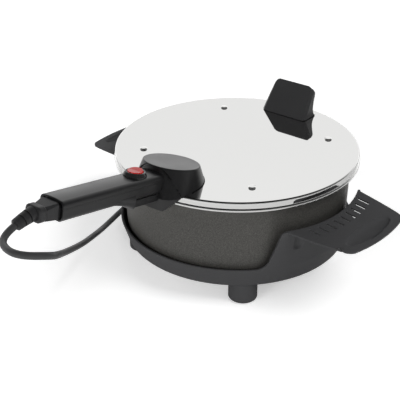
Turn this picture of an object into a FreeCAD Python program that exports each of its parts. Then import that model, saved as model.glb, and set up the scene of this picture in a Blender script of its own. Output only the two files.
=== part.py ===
import FreeCAD, Part
import math
import os
from FreeCAD import Vector

# Electric baking pan: a round pan in a moulded stand, under a lid that holds the
# heating element and carries the long handle with its switch and mains inlet.
# Millimetres. The origin is on the pan's axis at the table top, the long handle
# points along -Y, the small rear knob is on the +Y side, and +Z is up.

# Stand
foot_h = 26.8             # table to the underside of the ring
foot_r = 16.7
foot_bore_r = 13.4
foot_circle_r = 115.0
foot_web_t = 2.2
foot_edge_r = 2.5
pad_r = 12.6
pad_t = 5.0
pad_proud = 0.8
pad_clear = 0.1
stand_wall = 3.0
stand_turn = -4.15        # the stand is turned a little against the lid's handle
ring_foot_r = 132.9       # outer radius of the ring at its underside
ring_top_r = 140.7        # outer radius at the top edge of the wall
ring_h = 24.4
ring_edge_r = 1.0
floor_t = 3.0
floor_bore_r = 95.0
rib_h = 1.6
rib_w = 3.0
rib_count = 8
rib_reach = 3.0           # how far the ribs stop from the floor's edges
wing_z = 99.9             # top of the wing at its inner edge
wing_fall = 0.09          # the wing slopes down outwards by this share
wing_t = 2.8
wing_in_r = 146.2
wing_out_r = 207.0
wing_half_in = 63.3       # half width of the wing at its inner end
wing_half_out = 53.5
wing_root_x = 131.8
wing_tip_back = 20.0      # from the wing's outer arc back to where its corners begin
wing_corner_r = 10.0
cheek_fillet_r = 20.0
cheek_reach = 19.0        # from the outer arc back to where a cheek's curve meets the plate
cheek_mid_out = 0.62      # middle of that curve, as shares of its reach and rise
cheek_mid_up = 0.535
ramp_r = 12.0             # hollow of the wall where it climbs to a wing
ramp_half = 76.5
ramp_lean = 8.5
ramp_round_r = 5.0
slot_count = 9
slot_pitch = 11.7
slot_w = 2.6
slot_gap = 5.3            # from the wall to the slots
slot_len = 13.1
groove_edge = 7.8         # thumb groove near the wing's outer edge
groove_w = 20.6
groove_half = 40.0
groove_depth = 5.0
groove_wall = 2.2
groove_shrink = 0.55
groove_bend = 0.5
notch_x = 141.5
notch_w = 7.0
notch_h = 13.0
notch_depth = 1.6
notch_below = 1.5         # from the wing's top down to the pocket

# Pan
pan_wall = 3.0
pan_floor_t = 4.0
pan_h = 97.0
pan_r_low = 133.0
pan_r_high = 134.2
pan_corner_r = 18.0
pan_flare_h = 20.0
pan_flare = 4.3
pan_rim_t = 3.2
pan_rim_w = 4.4

# Lid
lid_past_rim = 5.1        # how far the lid reaches past the pan's rim
lid_h = 10.0              # seat on the pan's rim to the top of the cover
cover_t = 1.0
shoulder_r = 4.0
skirt_below = 2.4
bead_h = 3.2
bead_out = 0.6
hem_w = 3.2
reflector_t = 1.0
reflector_rise = 3.0
reflector_step_r = 126.0
reflector_step_w = 4.0
reflector_gap = 0.6
insulation_gap = 0.3
stud_past_ring = 12.2     # from the element's ring out to the studs
stud_count = 4
stud_r = 2.0
dome_r = 4.3
dome_h = 2.2
spacer_r = 3.6
hole_clear = 0.3
nut_flats = 7.0
nut_h = 3.2
leg_inset = 21.0          # from the hub's centre in to the element's legs
element_tube_r = 3.5
element_drop = 5.5        # reflector's ceiling to the element's centre line
element_gap_deg = 12.0
element_bend_r = 10.0
element_leg_top = 13.0    # legs end this far above the cover
leg_clear = 1.8           # round the legs, where they pass the reflector and the insulation
clamp_t = 1.0
clamp_w = 9.0
clamp_tail = 5.0
clamp_clear = 0.1

# Hub
hub_inset = 26.0          # from the lid's edge in to the hub's centre
hub_r = 35.5
hub_out = 41.0
hub_square = 3.4
hub_top_r = 31.3
hub_top_h = 23.5          # cover to the centre of the sloping disc
hub_tilt = 14.3
hub_wall = 2.5
hub_seam_back = 25.2      # from the hub's centre out to the seam
hub_seam_lean = 10.5
hub_skirt = 14.0          # how far the collar reaches below the cover's top
collar_lean = 45.0        # how its lower corners lean in, below the cover
collar_corner = 1.5       # where they begin, in from the hub's side
rim_clear = 0.4
seam_gap = 0.2
hub_points = 24

# Handle, in its own axes: out along it, across, and up square to it
handle_slope = 11.7
handle_past_hub = 26.0    # from the hub's centre out to the handle's start
handle_rise = 24.1        # cover to the crown line at the handle's start
handle_len = 150.0
handle_half = 16.0
handle_crown_drop = 0.8
handle_round_r = 5.0
seam_drop = 8.2
handle_h = 21.5
handle_wall = 2.5
mouth_wall = 1.5
boss_r = 4.0
guard_start = 80.0
guard_end = 48.0
guard_drop = 10.2
guard_spread = 1.2
guard_power = 0.45        # squareness of its section
block_half = 14.0
block_drop = 8.5
handle_gap = 0.3

# Bracket, switch, inlet
bracket_t = 2.0
bracket_half = 10.0
bracket_reach = 62.0
bracket_foot = 20.0         # how far its foot reaches out from the hub's centre
bracket_bend_u = 8.0
screw_r = 1.6
screw_head_r = 3.2
screw_head_h = 2.0
switch_u = 33.5
switch_r = 12.5
switch_rim_h = 5.4
switch_seat = 1.0
switch_body_r = 9.8
switch_body_h = 12.0
rocker_r = 8.8
rocker_clear = 0.35
rocker_rise = 1.8
rocker_tilt = 12.0
rocker_pin_r = 1.2
pin_clear = 0.05
inlet_depth = 18.0
inlet_base = 4.0
inlet_set_back = 3.5
plug_in_w = 24.0          # mains connector where it enters the inlet
plug_in_h = 15.8
plug_in_chamfer = 4.6
plug_in_clear = 0.3
blade_w = 4.0
blade_t = 2.0
blade_len = 15.5
blade_pitch = 7.0
blade_earth_drop = 4.0
blade_clear = 0.3
contact_t = 0.5
terminal_h = 7.0
terminal_half_y = 5.5
block_wall = 1.2
cutout_x = 20.0
cutout_back = 3.0
cutout_r = 8.0
cutout_h = 7.0
wire_r = 1.0
wire_clear = 0.8

# Connector outside the inlet
body_out = 15.5
collar_len = 8.0
collar_half = 10.5
collar_h = 16.0
collar_w = -12.0
relief_w = -12.0
relief_len = 21.0
relief_sunk = 1.5         # how far it starts inside the collar
relief_r_big = 7.3
relief_r_small = 5.9
relief_droop_start = 16.0
relief_droop_end = 24.0
relief_rings = 3
relief_groove = 1.3
relief_groove_w = 1.6

# Rear knob
knob_x = -4.5             # the knob stands a little off the lid's middle line
knob_y = 102.7
knob_half_low = 32.0
knob_half_high = 28.8
knob_h = 37.2
knob_lean = 24.8
knob_top_depth = 4.0
knob_top_fall = 5.5
knob_neck_y = 23.6        # hollow of the back: first below the top, then at its narrowest
knob_neck_h = 17.5
knob_waist_y = 21.6
knob_waist_h = 9.5
knob_toe_y = 22.8
knob_toe_h = 3.4
knob_foot_depth = 28.0
knob_edge = 3.0
knob_round_r = 3.5
knob_screw_dx = 18.0
knob_screw_dy = 14.5
knob_screw_depth = 8.0

# Mains lead
cord_d = 7.0
coil_mid_r = 37.0
coil_turns_wide = 2
coil_turns_high = 2
coil_x = -128.0
coil_y = 187.0
tie_w = 9.0
tie_t = 0.8
tie_angle = 60.0
tie_clear = 0.4
plug_x = -62.0
plug_y = 232.0
plug_angle = -12.0
plug_body_r = 18.5
plug_body_len = 26.0
plug_neck_len = 16.0
plug_pin_r = 2.4
plug_pin_len = 19.0
plug_pin_pitch = 19.0
cord_first_run = 11.8
cord_grip = 3.0           # how far the lead goes into the plug's neck

# Route of the lead from its first run at the strain relief to the coil, chosen by hand
cord_points = [
    (9.0, -362.9, 177.7),
    (38.0, -370.4, 181.6),
    (56.4, -345.6, 176.5),
    (43.2, -324.2, 164.5),
    (7.0, -302.1, 137.0),
    (-46.0, -246.1, 90.4),
    (-88.1, -176.8, 51.0),
    (-121.3, -125.6, 26.8),
    (-143.2, -84.5, 12.4),
    (-165.0, -13.8, 9.4),
    (-172.0, 50.0, 4.3),
    (-174.0, 105.0, 4.3),
    (-170.0, 150.0, 4.3),
    (-168.5, 187.0, 4.3),
]

# Sizes that follow from those above
tool_len = 300.0          # cutting tools reach well past the part
wing_tip_x = wing_out_r - wing_tip_back
groove_x_out = wing_out_r - groove_edge
groove_x_in = groove_x_out - groove_w
slot_in_r = wing_in_r + slot_gap
slot_out_r = slot_in_r + slot_len
pan_rim_r = pan_r_high + pan_flare + pan_rim_w - pan_wall
lid_r = pan_rim_r + lid_past_rim
hub_y = -(lid_r - hub_inset)
hub_seam_y = hub_y - hub_seam_back
handle_y = hub_y - handle_past_hub
floor_top_z = foot_h + floor_t
pan_z = floor_top_z + rib_h
rim_z = pan_z + pan_h
cover_z = rim_z + lid_h
cover_under_z = cover_z - cover_t
ring_top_z = foot_h + ring_h
ceiling_z = rim_z + reflector_rise
reflector_top_z = ceiling_z + reflector_t
X = Vector(1, 0, 0)
Y = Vector(0, 1, 0)
Z = Vector(0, 0, 1)
ORIGIN = Vector(0, 0, 0)


def cosd(deg):
    return math.cos(math.radians(deg))


def sind(deg):
    return math.sin(math.radians(deg))


def line(a, b):
    return Part.LineSegment(Vector(*a), Vector(*b)).toShape()


def arc(a, b, c):
    return Part.Arc(Vector(*a), Vector(*b), Vector(*c)).toShape()


def face_of(edges):
    return Part.Face(Part.Wire(edges))


def polygon(points):
    return Part.Face(Part.makePolygon([Vector(*p) for p in points + points[:1]]))


def spun(face):
    """A face in the XZ plane, turned once round the Z axis."""
    return face.revolve(ORIGIN, Z, 360)


def spun_polygon(points):
    return spun(polygon([(r, 0, z) for r, z in points]))


def disc(r, z0, z1, x=0.0, y=0.0):
    return Part.makeCylinder(r, z1 - z0, Vector(x, y, z0))


def tube(r_out, r_in, z0, z1, x=0.0, y=0.0):
    return disc(r_out, z0, z1, x, y).cut(disc(r_in, z0 - 1, z1 + 1, x, y))


def box(x0, x1, y0, y1, z0, z1):
    return Part.makeBox(x1 - x0, y1 - y0, z1 - z0, Vector(x0, y0, z0))


def closed_curve(points):
    curve = Part.BSplineCurve()
    curve.interpolate(Points=[Vector(*p) for p in points], PeriodicFlag=True)
    return Part.Wire([curve.toShape()])


def turned(shape, deg, about=ORIGIN, axis=Z):
    copy = shape.copy()
    copy.rotate(about, axis, deg)
    return copy


def moved(shape, x, y, z):
    copy = shape.copy()
    copy.translate(Vector(x, y, z))
    return copy


def round_places(radius, count, start):
    return [(radius * cosd(start + 360.0 * i / count),
             radius * sind(start + 360.0 * i / count)) for i in range(count)]


def group(shapes):
    return Part.makeCompound(shapes)


def in_handle(shape):
    """From the handle's own axes (out, across, up) to the part's frame."""
    copy = shape.copy()
    copy.rotate(ORIGIN, Z, -90)
    copy.rotate(ORIGIN, X, -handle_slope)
    copy.translate(Vector(0, handle_y, cover_z + handle_rise))
    return copy


def handle_point(u, v, w):
    c, s = cosd(handle_slope), sind(handle_slope)
    return Vector(v, handle_y - u * c + w * s, cover_z + handle_rise + u * s + w * c)


# Stand
def wing_top(x):
    return wing_z - wing_fall * (x - wing_root_x)


def wall_radius(z):
    """Outer radius of the stand's wall: one taper to the top edge, another to the wings."""
    if z <= ring_top_z:
        return ring_foot_r + (ring_top_r - ring_foot_r) * (z - foot_h) / ring_h
    top_r = wing_in_r + stand_wall
    return ring_top_r + (top_r - ring_top_r) * (z - ring_top_z) / (wing_z - ring_top_z)


def wing_outline(z, grow=0.0):
    """Plan of one wing and its cheeks, from inside the wall to the outer arc."""
    x0 = wing_root_x - 20.0
    slope = (wing_half_out - wing_half_in) / (wing_tip_x - wing_root_x)
    y0 = wing_half_in + slope * (x0 - wing_root_x) + grow
    r = wing_out_r + grow
    y1 = wing_half_in + slope * (r - wing_root_x) + grow
    x1 = math.sqrt(r * r - y1 * y1)
    return [line((x0, -y0, z), (x1, -y1, z)), arc((x1, -y1, z), (r, 0, z), (x1, y1, z)),
            line((x1, y1, z), (x0, y0, z)), line((x0, y0, z), (x0, -y0, z))]


def wing_block():
    """The wing's whole outline, solid from the underside of the ring to the wing's top."""
    solid = face_of(wing_outline(foot_h)).extrude(Z * (wing_z - foot_h + 10))
    corners = [e for e in solid.Edges if vertical_at(e, wing_tip_x)]
    return solid.makeFillet(wing_corner_r, corners)


def vertical_at(edge, x_min):
    upright = abs(edge.tangentAt(edge.FirstParameter).z) > 0.999
    return upright and edge.CenterOfMass.x > x_min


def above_wing():
    x0, x1 = floor_bore_r / 2, wing_out_r + 20
    far = wing_z + tool_len / 2
    profile = polygon([(x0, 0, wing_top(x0)), (x1, 0, wing_top(x1)), (x1, 0, far), (x0, 0, far)])
    return moved(profile.extrude(Y * tool_len), 0, -tool_len / 2, 0)


def cheek_cut():
    """The space outside and below the cheeks, as seen from the side."""
    x_in, z_in = ring_foot_r - ring_edge_r, foot_h
    x_tip = wing_out_r - cheek_reach
    z_tip = wing_top(x_tip) - wing_t
    x_mid, z_mid = x_in + (x_tip - x_in) * cheek_mid_out, z_in + (z_tip - z_in) * cheek_mid_up
    edges = [arc((x_in, 0, z_in), (x_mid, 0, z_mid), (x_tip, 0, z_tip)),
             line((x_tip, 0, z_tip), (x_tip + 60, 0, z_tip - wing_fall * 60)),
             line((x_tip + 60, 0, z_tip - wing_fall * 60), (x_tip + 60, 0, foot_h - 5)),
             line((x_tip + 60, 0, foot_h - 5), (x_in - 30, 0, foot_h - 5)),
             line((x_in - 30, 0, foot_h - 5), (x_in - 30, 0, z_in)),
             line((x_in - 30, 0, z_in), (x_in, 0, z_in))]
    return moved(face_of(edges).extrude(Y * tool_len), 0, -tool_len / 2, 0)


def ramp_cut():
    """The space beside one ramp: the wall's top edge sweeps up to the wing."""
    z0, z1 = ring_top_z, wing_z
    y_low, y_high = ramp_half + ramp_r, ramp_half - ramp_lean
    c = cosd(45)
    arc_mid = (0, ramp_half + ramp_r * (1 - c), z0 + ramp_r * (1 - c))
    top = z1 - ramp_round_r
    round_mid = (0, y_high - ramp_round_r * (1 - c), z1 - ramp_round_r * (1 - c))
    far = tool_len / 2
    edges = [arc((0, y_low, z0), arc_mid, (0, ramp_half, z0 + ramp_r)),
             line((0, ramp_half, z0 + ramp_r), (0, y_high, top)),
             arc((0, y_high, top), round_mid, (0, y_high - ramp_round_r, z1)),
             line((0, y_high - ramp_round_r, z1), (0, y_high - ramp_round_r, z1 + 30)),
             line((0, y_high - ramp_round_r, z1 + 30), (0, far, z1 + 30)),
             line((0, far, z1 + 30), (0, far, z0)),
             line((0, far, z0), (0, y_low, z0))]
    return moved(face_of(edges).extrude(X * 2 * tool_len), -tool_len, 0, 0)


def slot_tools():
    tools = []
    for i in range(slot_count):
        y = slot_pitch * (i - (slot_count - 1) / 2.0)
        x0 = math.sqrt(slot_in_r ** 2 - y ** 2) + slot_w / 2
        x1 = math.sqrt(slot_out_r ** 2 - y ** 2) - slot_w / 2
        z0, z1 = wing_top(slot_out_r) - wing_t - 5, wing_z + 5
        tools.append(box(x0, x1, y - slot_w / 2, y + slot_w / 2, z0, z1))
        tools.append(disc(slot_w / 2, z0, z1, x0, y))
        tools.append(disc(slot_w / 2, z0, z1, x1, y))
    return tools


def groove_outline(z, scale, grow):
    """Lens of the thumb groove: a flatter inner side and an outer side along the wing's edge."""
    xm = groove_x_out - (groove_x_out - groove_x_in) * scale / 2
    half_w = (groove_x_out - groove_x_in) * scale / 2 + grow
    half_l = groove_half * scale + grow
    points = []
    for i in range(24):
        a = 360.0 * i / 24
        y = half_l * sind(a)
        bend = (y / groove_half) ** 2 * groove_bend
        points.append((xm - bend + half_w * cosd(a), y, z))
    return closed_curve(points)


def groove_solid(grow):
    z = wing_top(groove_x_in) + 1
    low = wing_top(groove_x_out) - groove_depth - grow
    mid, half_scale = (z + low * 2) / 3, 0.35 + 0.65 * groove_shrink
    return Part.makeLoft([groove_outline(z, 1.0, grow), groove_outline(mid, half_scale, grow),
                          groove_outline(low, groove_shrink, grow)], True, False)


def notch_tool():
    """Shallow upright pocket on a cheek."""
    slope = (wing_half_out - wing_half_in) / (wing_tip_x - wing_root_x)
    y = wing_half_in + slope * (notch_x - wing_root_x)
    z1 = wing_top(notch_x) - notch_below
    tool = box(notch_x - notch_w / 2, notch_x + notch_w / 2, y - notch_depth, y + 5, z1 - notch_h, z1)
    low = Part.makeCylinder(notch_w / 2, notch_depth + 5, Vector(notch_x, y - notch_depth, z1 - notch_h), Y)
    return turned(tool.fuse(low), math.degrees(math.atan(slope)), Vector(notch_x, y, z1))


def wall_cone(top=wing_z):
    """Everything inside the wall's outer face."""
    return spun_polygon([(0, foot_h), (ring_foot_r, foot_h), (ring_top_r, ring_top_z),
                         (wall_radius(top), top), (0, top)])


def cheek_root(edge):
    """The upright edges where a cheek meets the ring's wall."""
    span = edge.BoundBox
    beside = abs(edge.CenterOfMass.y) > wing_half_out and abs(edge.CenterOfMass.x) > wing_root_x - 25
    return beside and span.ZLength > ring_h - 2 and span.XLength < 25


def hollow_under_wing():
    """Open space under the plate, between the cheeks and outside the wall."""
    t = stand_wall
    x0, x1 = wing_root_x - 20, wing_out_r + 30
    z0, z1 = wing_top(x0) - wing_t, wing_top(x1) - wing_t
    side = polygon([(x0, 0, z0), (x1, 0, z1), (x1, 0, 0), (x0, 0, 0)])
    space = moved(side.extrude(Y * tool_len), 0, -tool_len / 2, 0)
    slope = (wing_half_out - wing_half_in) / (wing_tip_x - wing_root_x)
    y0 = wing_half_in + slope * (x0 - wing_root_x) - t
    y1 = wing_half_in + slope * (x1 - wing_root_x) - t
    plan = polygon([(x0, -y0, -1), (x1, -y1, -1), (x1, y1, -1), (x0, y0, -1)]).extrude(Z * tool_len)
    return space.common(plan).cut(wall_cone(wing_z + 1))


def wing_blank():
    """Both wings as solid blocks on the wall's cone, with hollow fillets at their roots."""
    block = wing_block()
    body = wall_cone().fuse([block, turned(block, 180)]).removeSplitter()
    return body.makeFillet(cheek_fillet_r, [e for e in body.Edges if cheek_root(e)])


def ring_corner():
    """What is taken off to round the ring's lower outer edge."""
    r, e, z = ring_foot_r, ring_edge_r, foot_h
    rim = wall_radius(z + e)
    c = cosd(45)
    edges = [line((r - e, 0, z - 1), (r - e, 0, z)),
             arc((r - e, 0, z), (r - e + (e + rim - r) * c, 0, z + e * (1 - c)), (rim, 0, z + e)),
             line((rim, 0, z + e), (rim + 6, 0, z + e)), line((rim + 6, 0, z + e), (rim + 6, 0, z - 1)),
             line((rim + 6, 0, z - 1), (r - e, 0, z - 1))]
    return spun(face_of(edges))


def both_sides(tool):
    return [tool, turned(tool, 180)]


def wing_shell():
    """The wall, carried up to the wings, with the plates and cheeks cut from the blank."""
    body = wing_blank()
    lower = cheek_cut().cut(wall_cone())
    inside = spun_polygon([(0, foot_h - 1), (floor_bore_r, foot_h - 1), (floor_bore_r, floor_top_z),
                           (wall_radius(floor_top_z) - stand_wall, floor_top_z),
                           (ring_top_r - stand_wall, ring_top_z),
                           (wing_in_r, wing_z), (wing_in_r, wing_z + 20), (0, wing_z + 20)])
    tools = [inside, ramp_cut(), ramp_cut().mirror(ORIGIN, Y), ring_corner()]
    for tool in (hollow_under_wing(), above_wing(), lower):
        tools += both_sides(tool)
    for tool in tools:
        body = body.cut(tool)
    return body


def foot_solid():
    """One moulded foot with a rounded lower edge, up to the floor of the ring."""
    r, e, z = foot_r, foot_edge_r, pad_proud
    c = cosd(45)
    edges = [line((0, 0, z), (r - e, 0, z)),
             arc((r - e, 0, z), (r - e * (1 - c), 0, z + e * (1 - c)), (r, 0, z + e)),
             line((r, 0, z + e), (r, 0, floor_top_z)),
             line((r, 0, floor_top_z), (0, 0, floor_top_z)),
             line((0, 0, floor_top_z), (0, 0, z))]
    return spun(face_of(edges))


def stand_ribs():
    """Low ribs on the ring's floor, which carry the pan."""
    r0 = floor_bore_r + rib_reach
    r1 = wall_radius(floor_top_z) - stand_wall - rib_reach
    rib = box(r0, r1, -rib_w / 2, rib_w / 2, floor_top_z, pan_z)
    return [turned(rib, 22.5 + 360.0 * i / rib_count) for i in range(rib_count)]


def stand_ring():
    body = wing_shell()
    pocket = groove_solid(groove_wall).cut(above_wing())
    body = body.fuse(both_sides(pocket))
    notch = notch_tool()
    cuts = slot_tools() + [groove_solid(0.0), notch, notch.mirror(ORIGIN, Y)]
    for tool in cuts:
        for placed in both_sides(tool):
            body = body.cut(placed)
    places = round_places(foot_circle_r, 4, 45)
    body = body.fuse([moved(foot_solid(), x, y, 0) for x, y in places] + stand_ribs()).removeSplitter()
    for x, y in places:
        body = body.cut(disc(foot_bore_r, pad_t + foot_web_t, floor_top_z + 1, x, y))
        body = body.cut(disc(pad_r + pad_clear, 0, pad_t, x, y))
    return turned(body, stand_turn)


def foot_pads():
    return group([turned(disc(pad_r, 0, pad_t, x, y), stand_turn)
                  for x, y in round_places(foot_circle_r, 4, 45)])


# Pan
def pan_bowl():
    """Pressed pan: flat floor, round corner, nearly upright wall, flared rim with a rolled lip."""
    t, c45 = pan_wall, cosd(45)
    z0, r0, r1, k = pan_z, pan_r_low, pan_r_high, pan_corner_r
    z_flare, z_lip = rim_z - pan_flare_h, rim_z - pan_rim_t
    r_lip = r1 + pan_flare
    r_bend = (pan_flare ** 2 + (pan_flare_h - pan_rim_t) ** 2) / (2 * pan_flare)
    half = math.asin((pan_flare_h - pan_rim_t) / r_bend) / 2
    out_mid = (r1 + r_bend * (1 - math.cos(half)), 0, z_flare + r_bend * math.sin(half))
    in_mid = (out_mid[0] - t, 0, out_mid[2])
    ki = k - pan_floor_t
    edges = [line((0, 0, z0), (r0 - k, 0, z0)),
             arc((r0 - k, 0, z0), (r0 - k + k * c45, 0, z0 + k - k * c45), (r0, 0, z0 + k)),
             line((r0, 0, z0 + k), (r1, 0, z_flare)),
             arc((r1, 0, z_flare), out_mid, (r_lip, 0, z_lip)),
             line((r_lip, 0, z_lip), (r_lip + pan_rim_w - t, 0, z_lip)),
             line((r_lip + pan_rim_w - t, 0, z_lip), (r_lip + pan_rim_w - t, 0, rim_z)),
             line((r_lip + pan_rim_w - t, 0, rim_z), (r_lip - t, 0, rim_z)),
             line((r_lip - t, 0, rim_z), (r_lip - t, 0, z_lip)),
             arc((r_lip - t, 0, z_lip), in_mid, (r1 - t, 0, z_flare)),
             line((r1 - t, 0, z_flare), (r0 - t, 0, z0 + k)),
             arc((r0 - t, 0, z0 + k),
                 (r0 - t - ki + ki * c45, 0, z0 + k - ki * c45),
                 (r0 - t - ki, 0, z0 + k - ki)),
             line((r0 - t - ki, 0, z0 + k - ki), (0, 0, z0 + k - ki)),
             line((0, 0, z0 + k - ki), (0, 0, z0))]
    body = spun(face_of(edges))
    outer = [e for e in body.Edges if rim_edge(e)]
    return body.makeFillet(pan_rim_t * 0.3, outer)


def rim_edge(edge):
    return abs(edge.BoundBox.XLength - 2 * pan_rim_r) < 0.1 and edge.BoundBox.ZLength < 0.01


# Lid
def cover_profile(inset):
    """Section of the pressed cover: flat top, small round shoulder, skirt and bead."""
    r, z, k, i = lid_r - bead_out, cover_z, shoulder_r, inset
    zb = rim_z - skirt_below
    zs = zb + bead_h
    c = cosd(45)
    zi = zb + (cover_t if inset else 0)
    bead_mid = (r + bead_out - i, 0, (zs + zb) / 2)
    return [line((0, 0, z - i), (r - k, 0, z - i)),
            arc((r - k, 0, z - i), (r - k + (k - i) * c, 0, z - k + (k - i) * c), (r - i, 0, z - k)),
            line((r - i, 0, z - k), (r - i, 0, zs)),
            arc((r - i, 0, zs), bead_mid, (r - i, 0, zi))]


def lid_cover():
    z, zb, t = cover_z, rim_z - skirt_below, cover_t
    r = lid_r - bead_out
    outer, inner = cover_profile(0.0), cover_profile(t)
    hem_r = r - hem_w
    edges = outer + [line((r, 0, zb), (hem_r, 0, zb)), line((hem_r, 0, zb), (hem_r, 0, zb + t)),
                     line((hem_r, 0, zb + t), (r - t, 0, zb + t))] + inner[::-1]
    edges.append(line((0, 0, z - t), (0, 0, z)))
    body = spun(Part.Face(Part.Wire(Part.__sortEdges__(edges))))
    return body.cut(group(cover_holes()))


def cover_holes():
    holes = [disc(stud_r + hole_clear, rim_z, cover_z + 1, x, y) for x, y in stud_places()]
    holes += [disc(element_tube_r + hole_clear, rim_z, cover_z + 1, x, y) for x, y in leg_places()]
    holes += [disc(screw_r + hole_clear, rim_z, cover_z + 1, x, y) for x, y in bracket_places()]
    holes += [disc(screw_r + hole_clear, rim_z, cover_z + 1, x, y) for x, y in knob_places()]
    return holes


def stud_places():
    return round_places(stud_circle_r(), stud_count, 45)


def stud_circle_r():
    return element_ring_r() + stud_past_ring


def element_ring_r():
    """Ring of the element, whose legs stand under the hub, leg_inset in from its centre."""
    leg_y = -hub_y - leg_inset
    return (leg_y - element_bend_r * sind(element_gap_deg)) / cosd(element_gap_deg)


def knob_places():
    y = knob_y + knob_screw_dy
    return [(knob_x - knob_screw_dx, y), (knob_x + knob_screw_dx, y)]


def bracket_places():
    return [(-bracket_half + 4, hub_y + 6), (bracket_half - 4, hub_y + 6)]


def element_ends():
    a = -90 + element_gap_deg
    return element_ring_r() * cosd(a), element_ring_r() * sind(a)


def leg_places():
    """Where the element's two legs stand, just past the ends of its ring."""
    x, y = element_ends()
    a = -90 + element_gap_deg
    dx, dy = sind(a) * element_bend_r, -cosd(a) * element_bend_r
    return [(x + dx, y + dy), (-x - dx, y + dy)]


def reflector():
    """Shallow dish under the insulation, resting on the pan's rim with its flange."""
    r0, r1, t = reflector_step_r, reflector_step_r + reflector_step_w, reflector_t
    r2 = lid_r - bead_out - cover_t - reflector_gap
    body = spun_polygon([(0, ceiling_z), (r0, ceiling_z), (r1, rim_z), (r2, rim_z), (r2, rim_z + t),
                         (r1 + t / 2, rim_z + t), (r0 + t / 2, reflector_top_z), (0, reflector_top_z)])
    return body.cut(group(through_holes()))


def through_holes():
    z0, z1 = rim_z - 1, cover_under_z + 1
    holes = [disc(stud_r + hole_clear, z0, z1, x, y) for x, y in stud_places()]
    return holes + [disc(element_tube_r + leg_clear, z0, z1, x, y) for x, y in leg_places()]


def insulation_pad():
    g = insulation_gap
    z0, z1 = reflector_top_z + g, cover_under_z - g
    body = disc(reflector_step_r - 2, z0, z1)
    for x, y in stud_places():
        body = body.cut(disc(spacer_r + g, z0 - 1, z1 + 1, x, y))
    for x, y in leg_places():
        body = body.cut(disc(element_tube_r + leg_clear, z0 - 1, z1 + 1, x, y))
    for x, y in bracket_places() + knob_places():
        body = body.cut(disc(screw_head_r + g, z0 - 1, z1 + 1, x, y))
    return body


def dome(z):
    """Low dome standing on height z, a cap of one sphere."""
    r = (dome_r ** 2 + dome_h ** 2) / (2 * dome_h)
    return Part.makeSphere(r, Vector(0, 0, z + dome_h - r)).common(disc(dome_r + 1, z, z + dome_h + 1))


def stud_bottom_z():
    return ceiling_z - clamp_t - nut_h


def lid_studs():
    stud = dome(cover_z).fuse(disc(stud_r, stud_bottom_z() - 1, cover_z + 0.5)).removeSplitter()
    return group([moved(stud, x, y, 0) for x, y in stud_places()])


def stud_spacers():
    return group([tube(spacer_r, stud_r + hole_clear, reflector_top_z, cover_under_z, x, y)
                  for x, y in stud_places()])


def hex_nut(flats, bore, z0, z1):
    r = flats / 2 / cosd(30)
    corners = [(r * cosd(60 * i), r * sind(60 * i), z0) for i in range(6)]
    return polygon(corners).extrude(Z * (z1 - z0)).cut(disc(bore, z0 - 1, z1 + 1))


def stud_nuts():
    nut = hex_nut(nut_flats, stud_r + 0.02, stud_bottom_z(), ceiling_z - clamp_t)
    return group([moved(nut, x, y, 0) for x, y in stud_places()])


def heating_element():
    """Tubular ring with both ends turned up through the lid into the hub."""
    z = ceiling_z - element_drop
    x, y = element_ends()
    a = -90 + element_gap_deg
    b, c = element_bend_r, cosd(45)
    dx, dy = sind(a), -cosd(a)
    top = cover_z + element_leg_top

    def leg(side):
        foot = (side * (x + dx * b), y + dy * b, z + b)
        mid = (side * (x + dx * b * c), y + dy * b * c, z + b - b * c)
        return [line((foot[0], foot[1], top), foot), arc(foot, mid, (side * x, y, z))]

    ring = arc((x, y, z), (0, element_ring_r(), z), (-x, y, z))
    path = Part.Wire(leg(1) + [ring] + leg(-1)[::-1])
    start = Vector(x + dx * b, y + dy * b, top)
    section = Part.Wire([Part.makeCircle(element_tube_r, start, Z)])
    return path.makePipeShell([section], True, False)


def element_clamps():
    """A strap under each stud's nut that hooks round the element's tube."""
    z = ceiling_z
    gap, t = clamp_clear, clamp_t
    r_in = element_tube_r + gap
    zc = z - element_drop
    rc = element_ring_r()
    out = r_in + t
    tail = stud_circle_r() + clamp_tail
    edges = [line((tail, 0, z), (rc, 0, z)), line((rc, 0, z), (rc, 0, zc + out)),
             arc((rc, 0, zc + out), (rc - out, 0, zc), (rc, 0, zc - out)),
             line((rc, 0, zc - out), (rc, 0, zc - r_in)),
             arc((rc, 0, zc - r_in), (rc - r_in, 0, zc), (rc, 0, zc + r_in)),
             line((rc, 0, zc + r_in), (rc + out, 0, z - t)), line((rc + out, 0, z - t), (tail, 0, z - t)),
             line((tail, 0, z - t), (tail, 0, z))]
    strap = moved(face_of(edges).extrude(Y * clamp_w), 0, -clamp_w / 2, 0)
    strap = strap.cut(disc(stud_r + hole_clear, z - 10, z + 10, stud_circle_r(), 0))
    return group([turned(strap, 45 + 360.0 * i / stud_count) for i in range(stud_count)])


# Hub
def hub_plan(z, grow=0.0):
    """Plan of the hub: round towards the lid's centre, squarer outside the rim."""
    points = []
    for i in range(hub_points):
        a = 360.0 * i / hub_points
        c, s = cosd(a), sind(a)
        if s >= 0:
            r = hub_r
        else:
            n = hub_square
            r = (abs(c / hub_r) ** n + abs(s / hub_out) ** n) ** (-1 / n)
        points.append(((r + grow) * c, hub_y + (r + grow) * s, z))
    return closed_curve(points)


def hub_disc(grow=0.0, drop=0.0):
    """The sloping round top, as a closed curve with the plan's own number of points."""
    points = []
    r = hub_top_r + grow
    for i in range(hub_points):
        a = 360.0 * i / hub_points
        y, z = r * sind(a) * cosd(hub_tilt), -r * sind(a) * sind(hub_tilt)
        points.append((r * cosd(a), hub_y + y, cover_z + hub_top_h - drop + z))
    return closed_curve(points)


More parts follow.
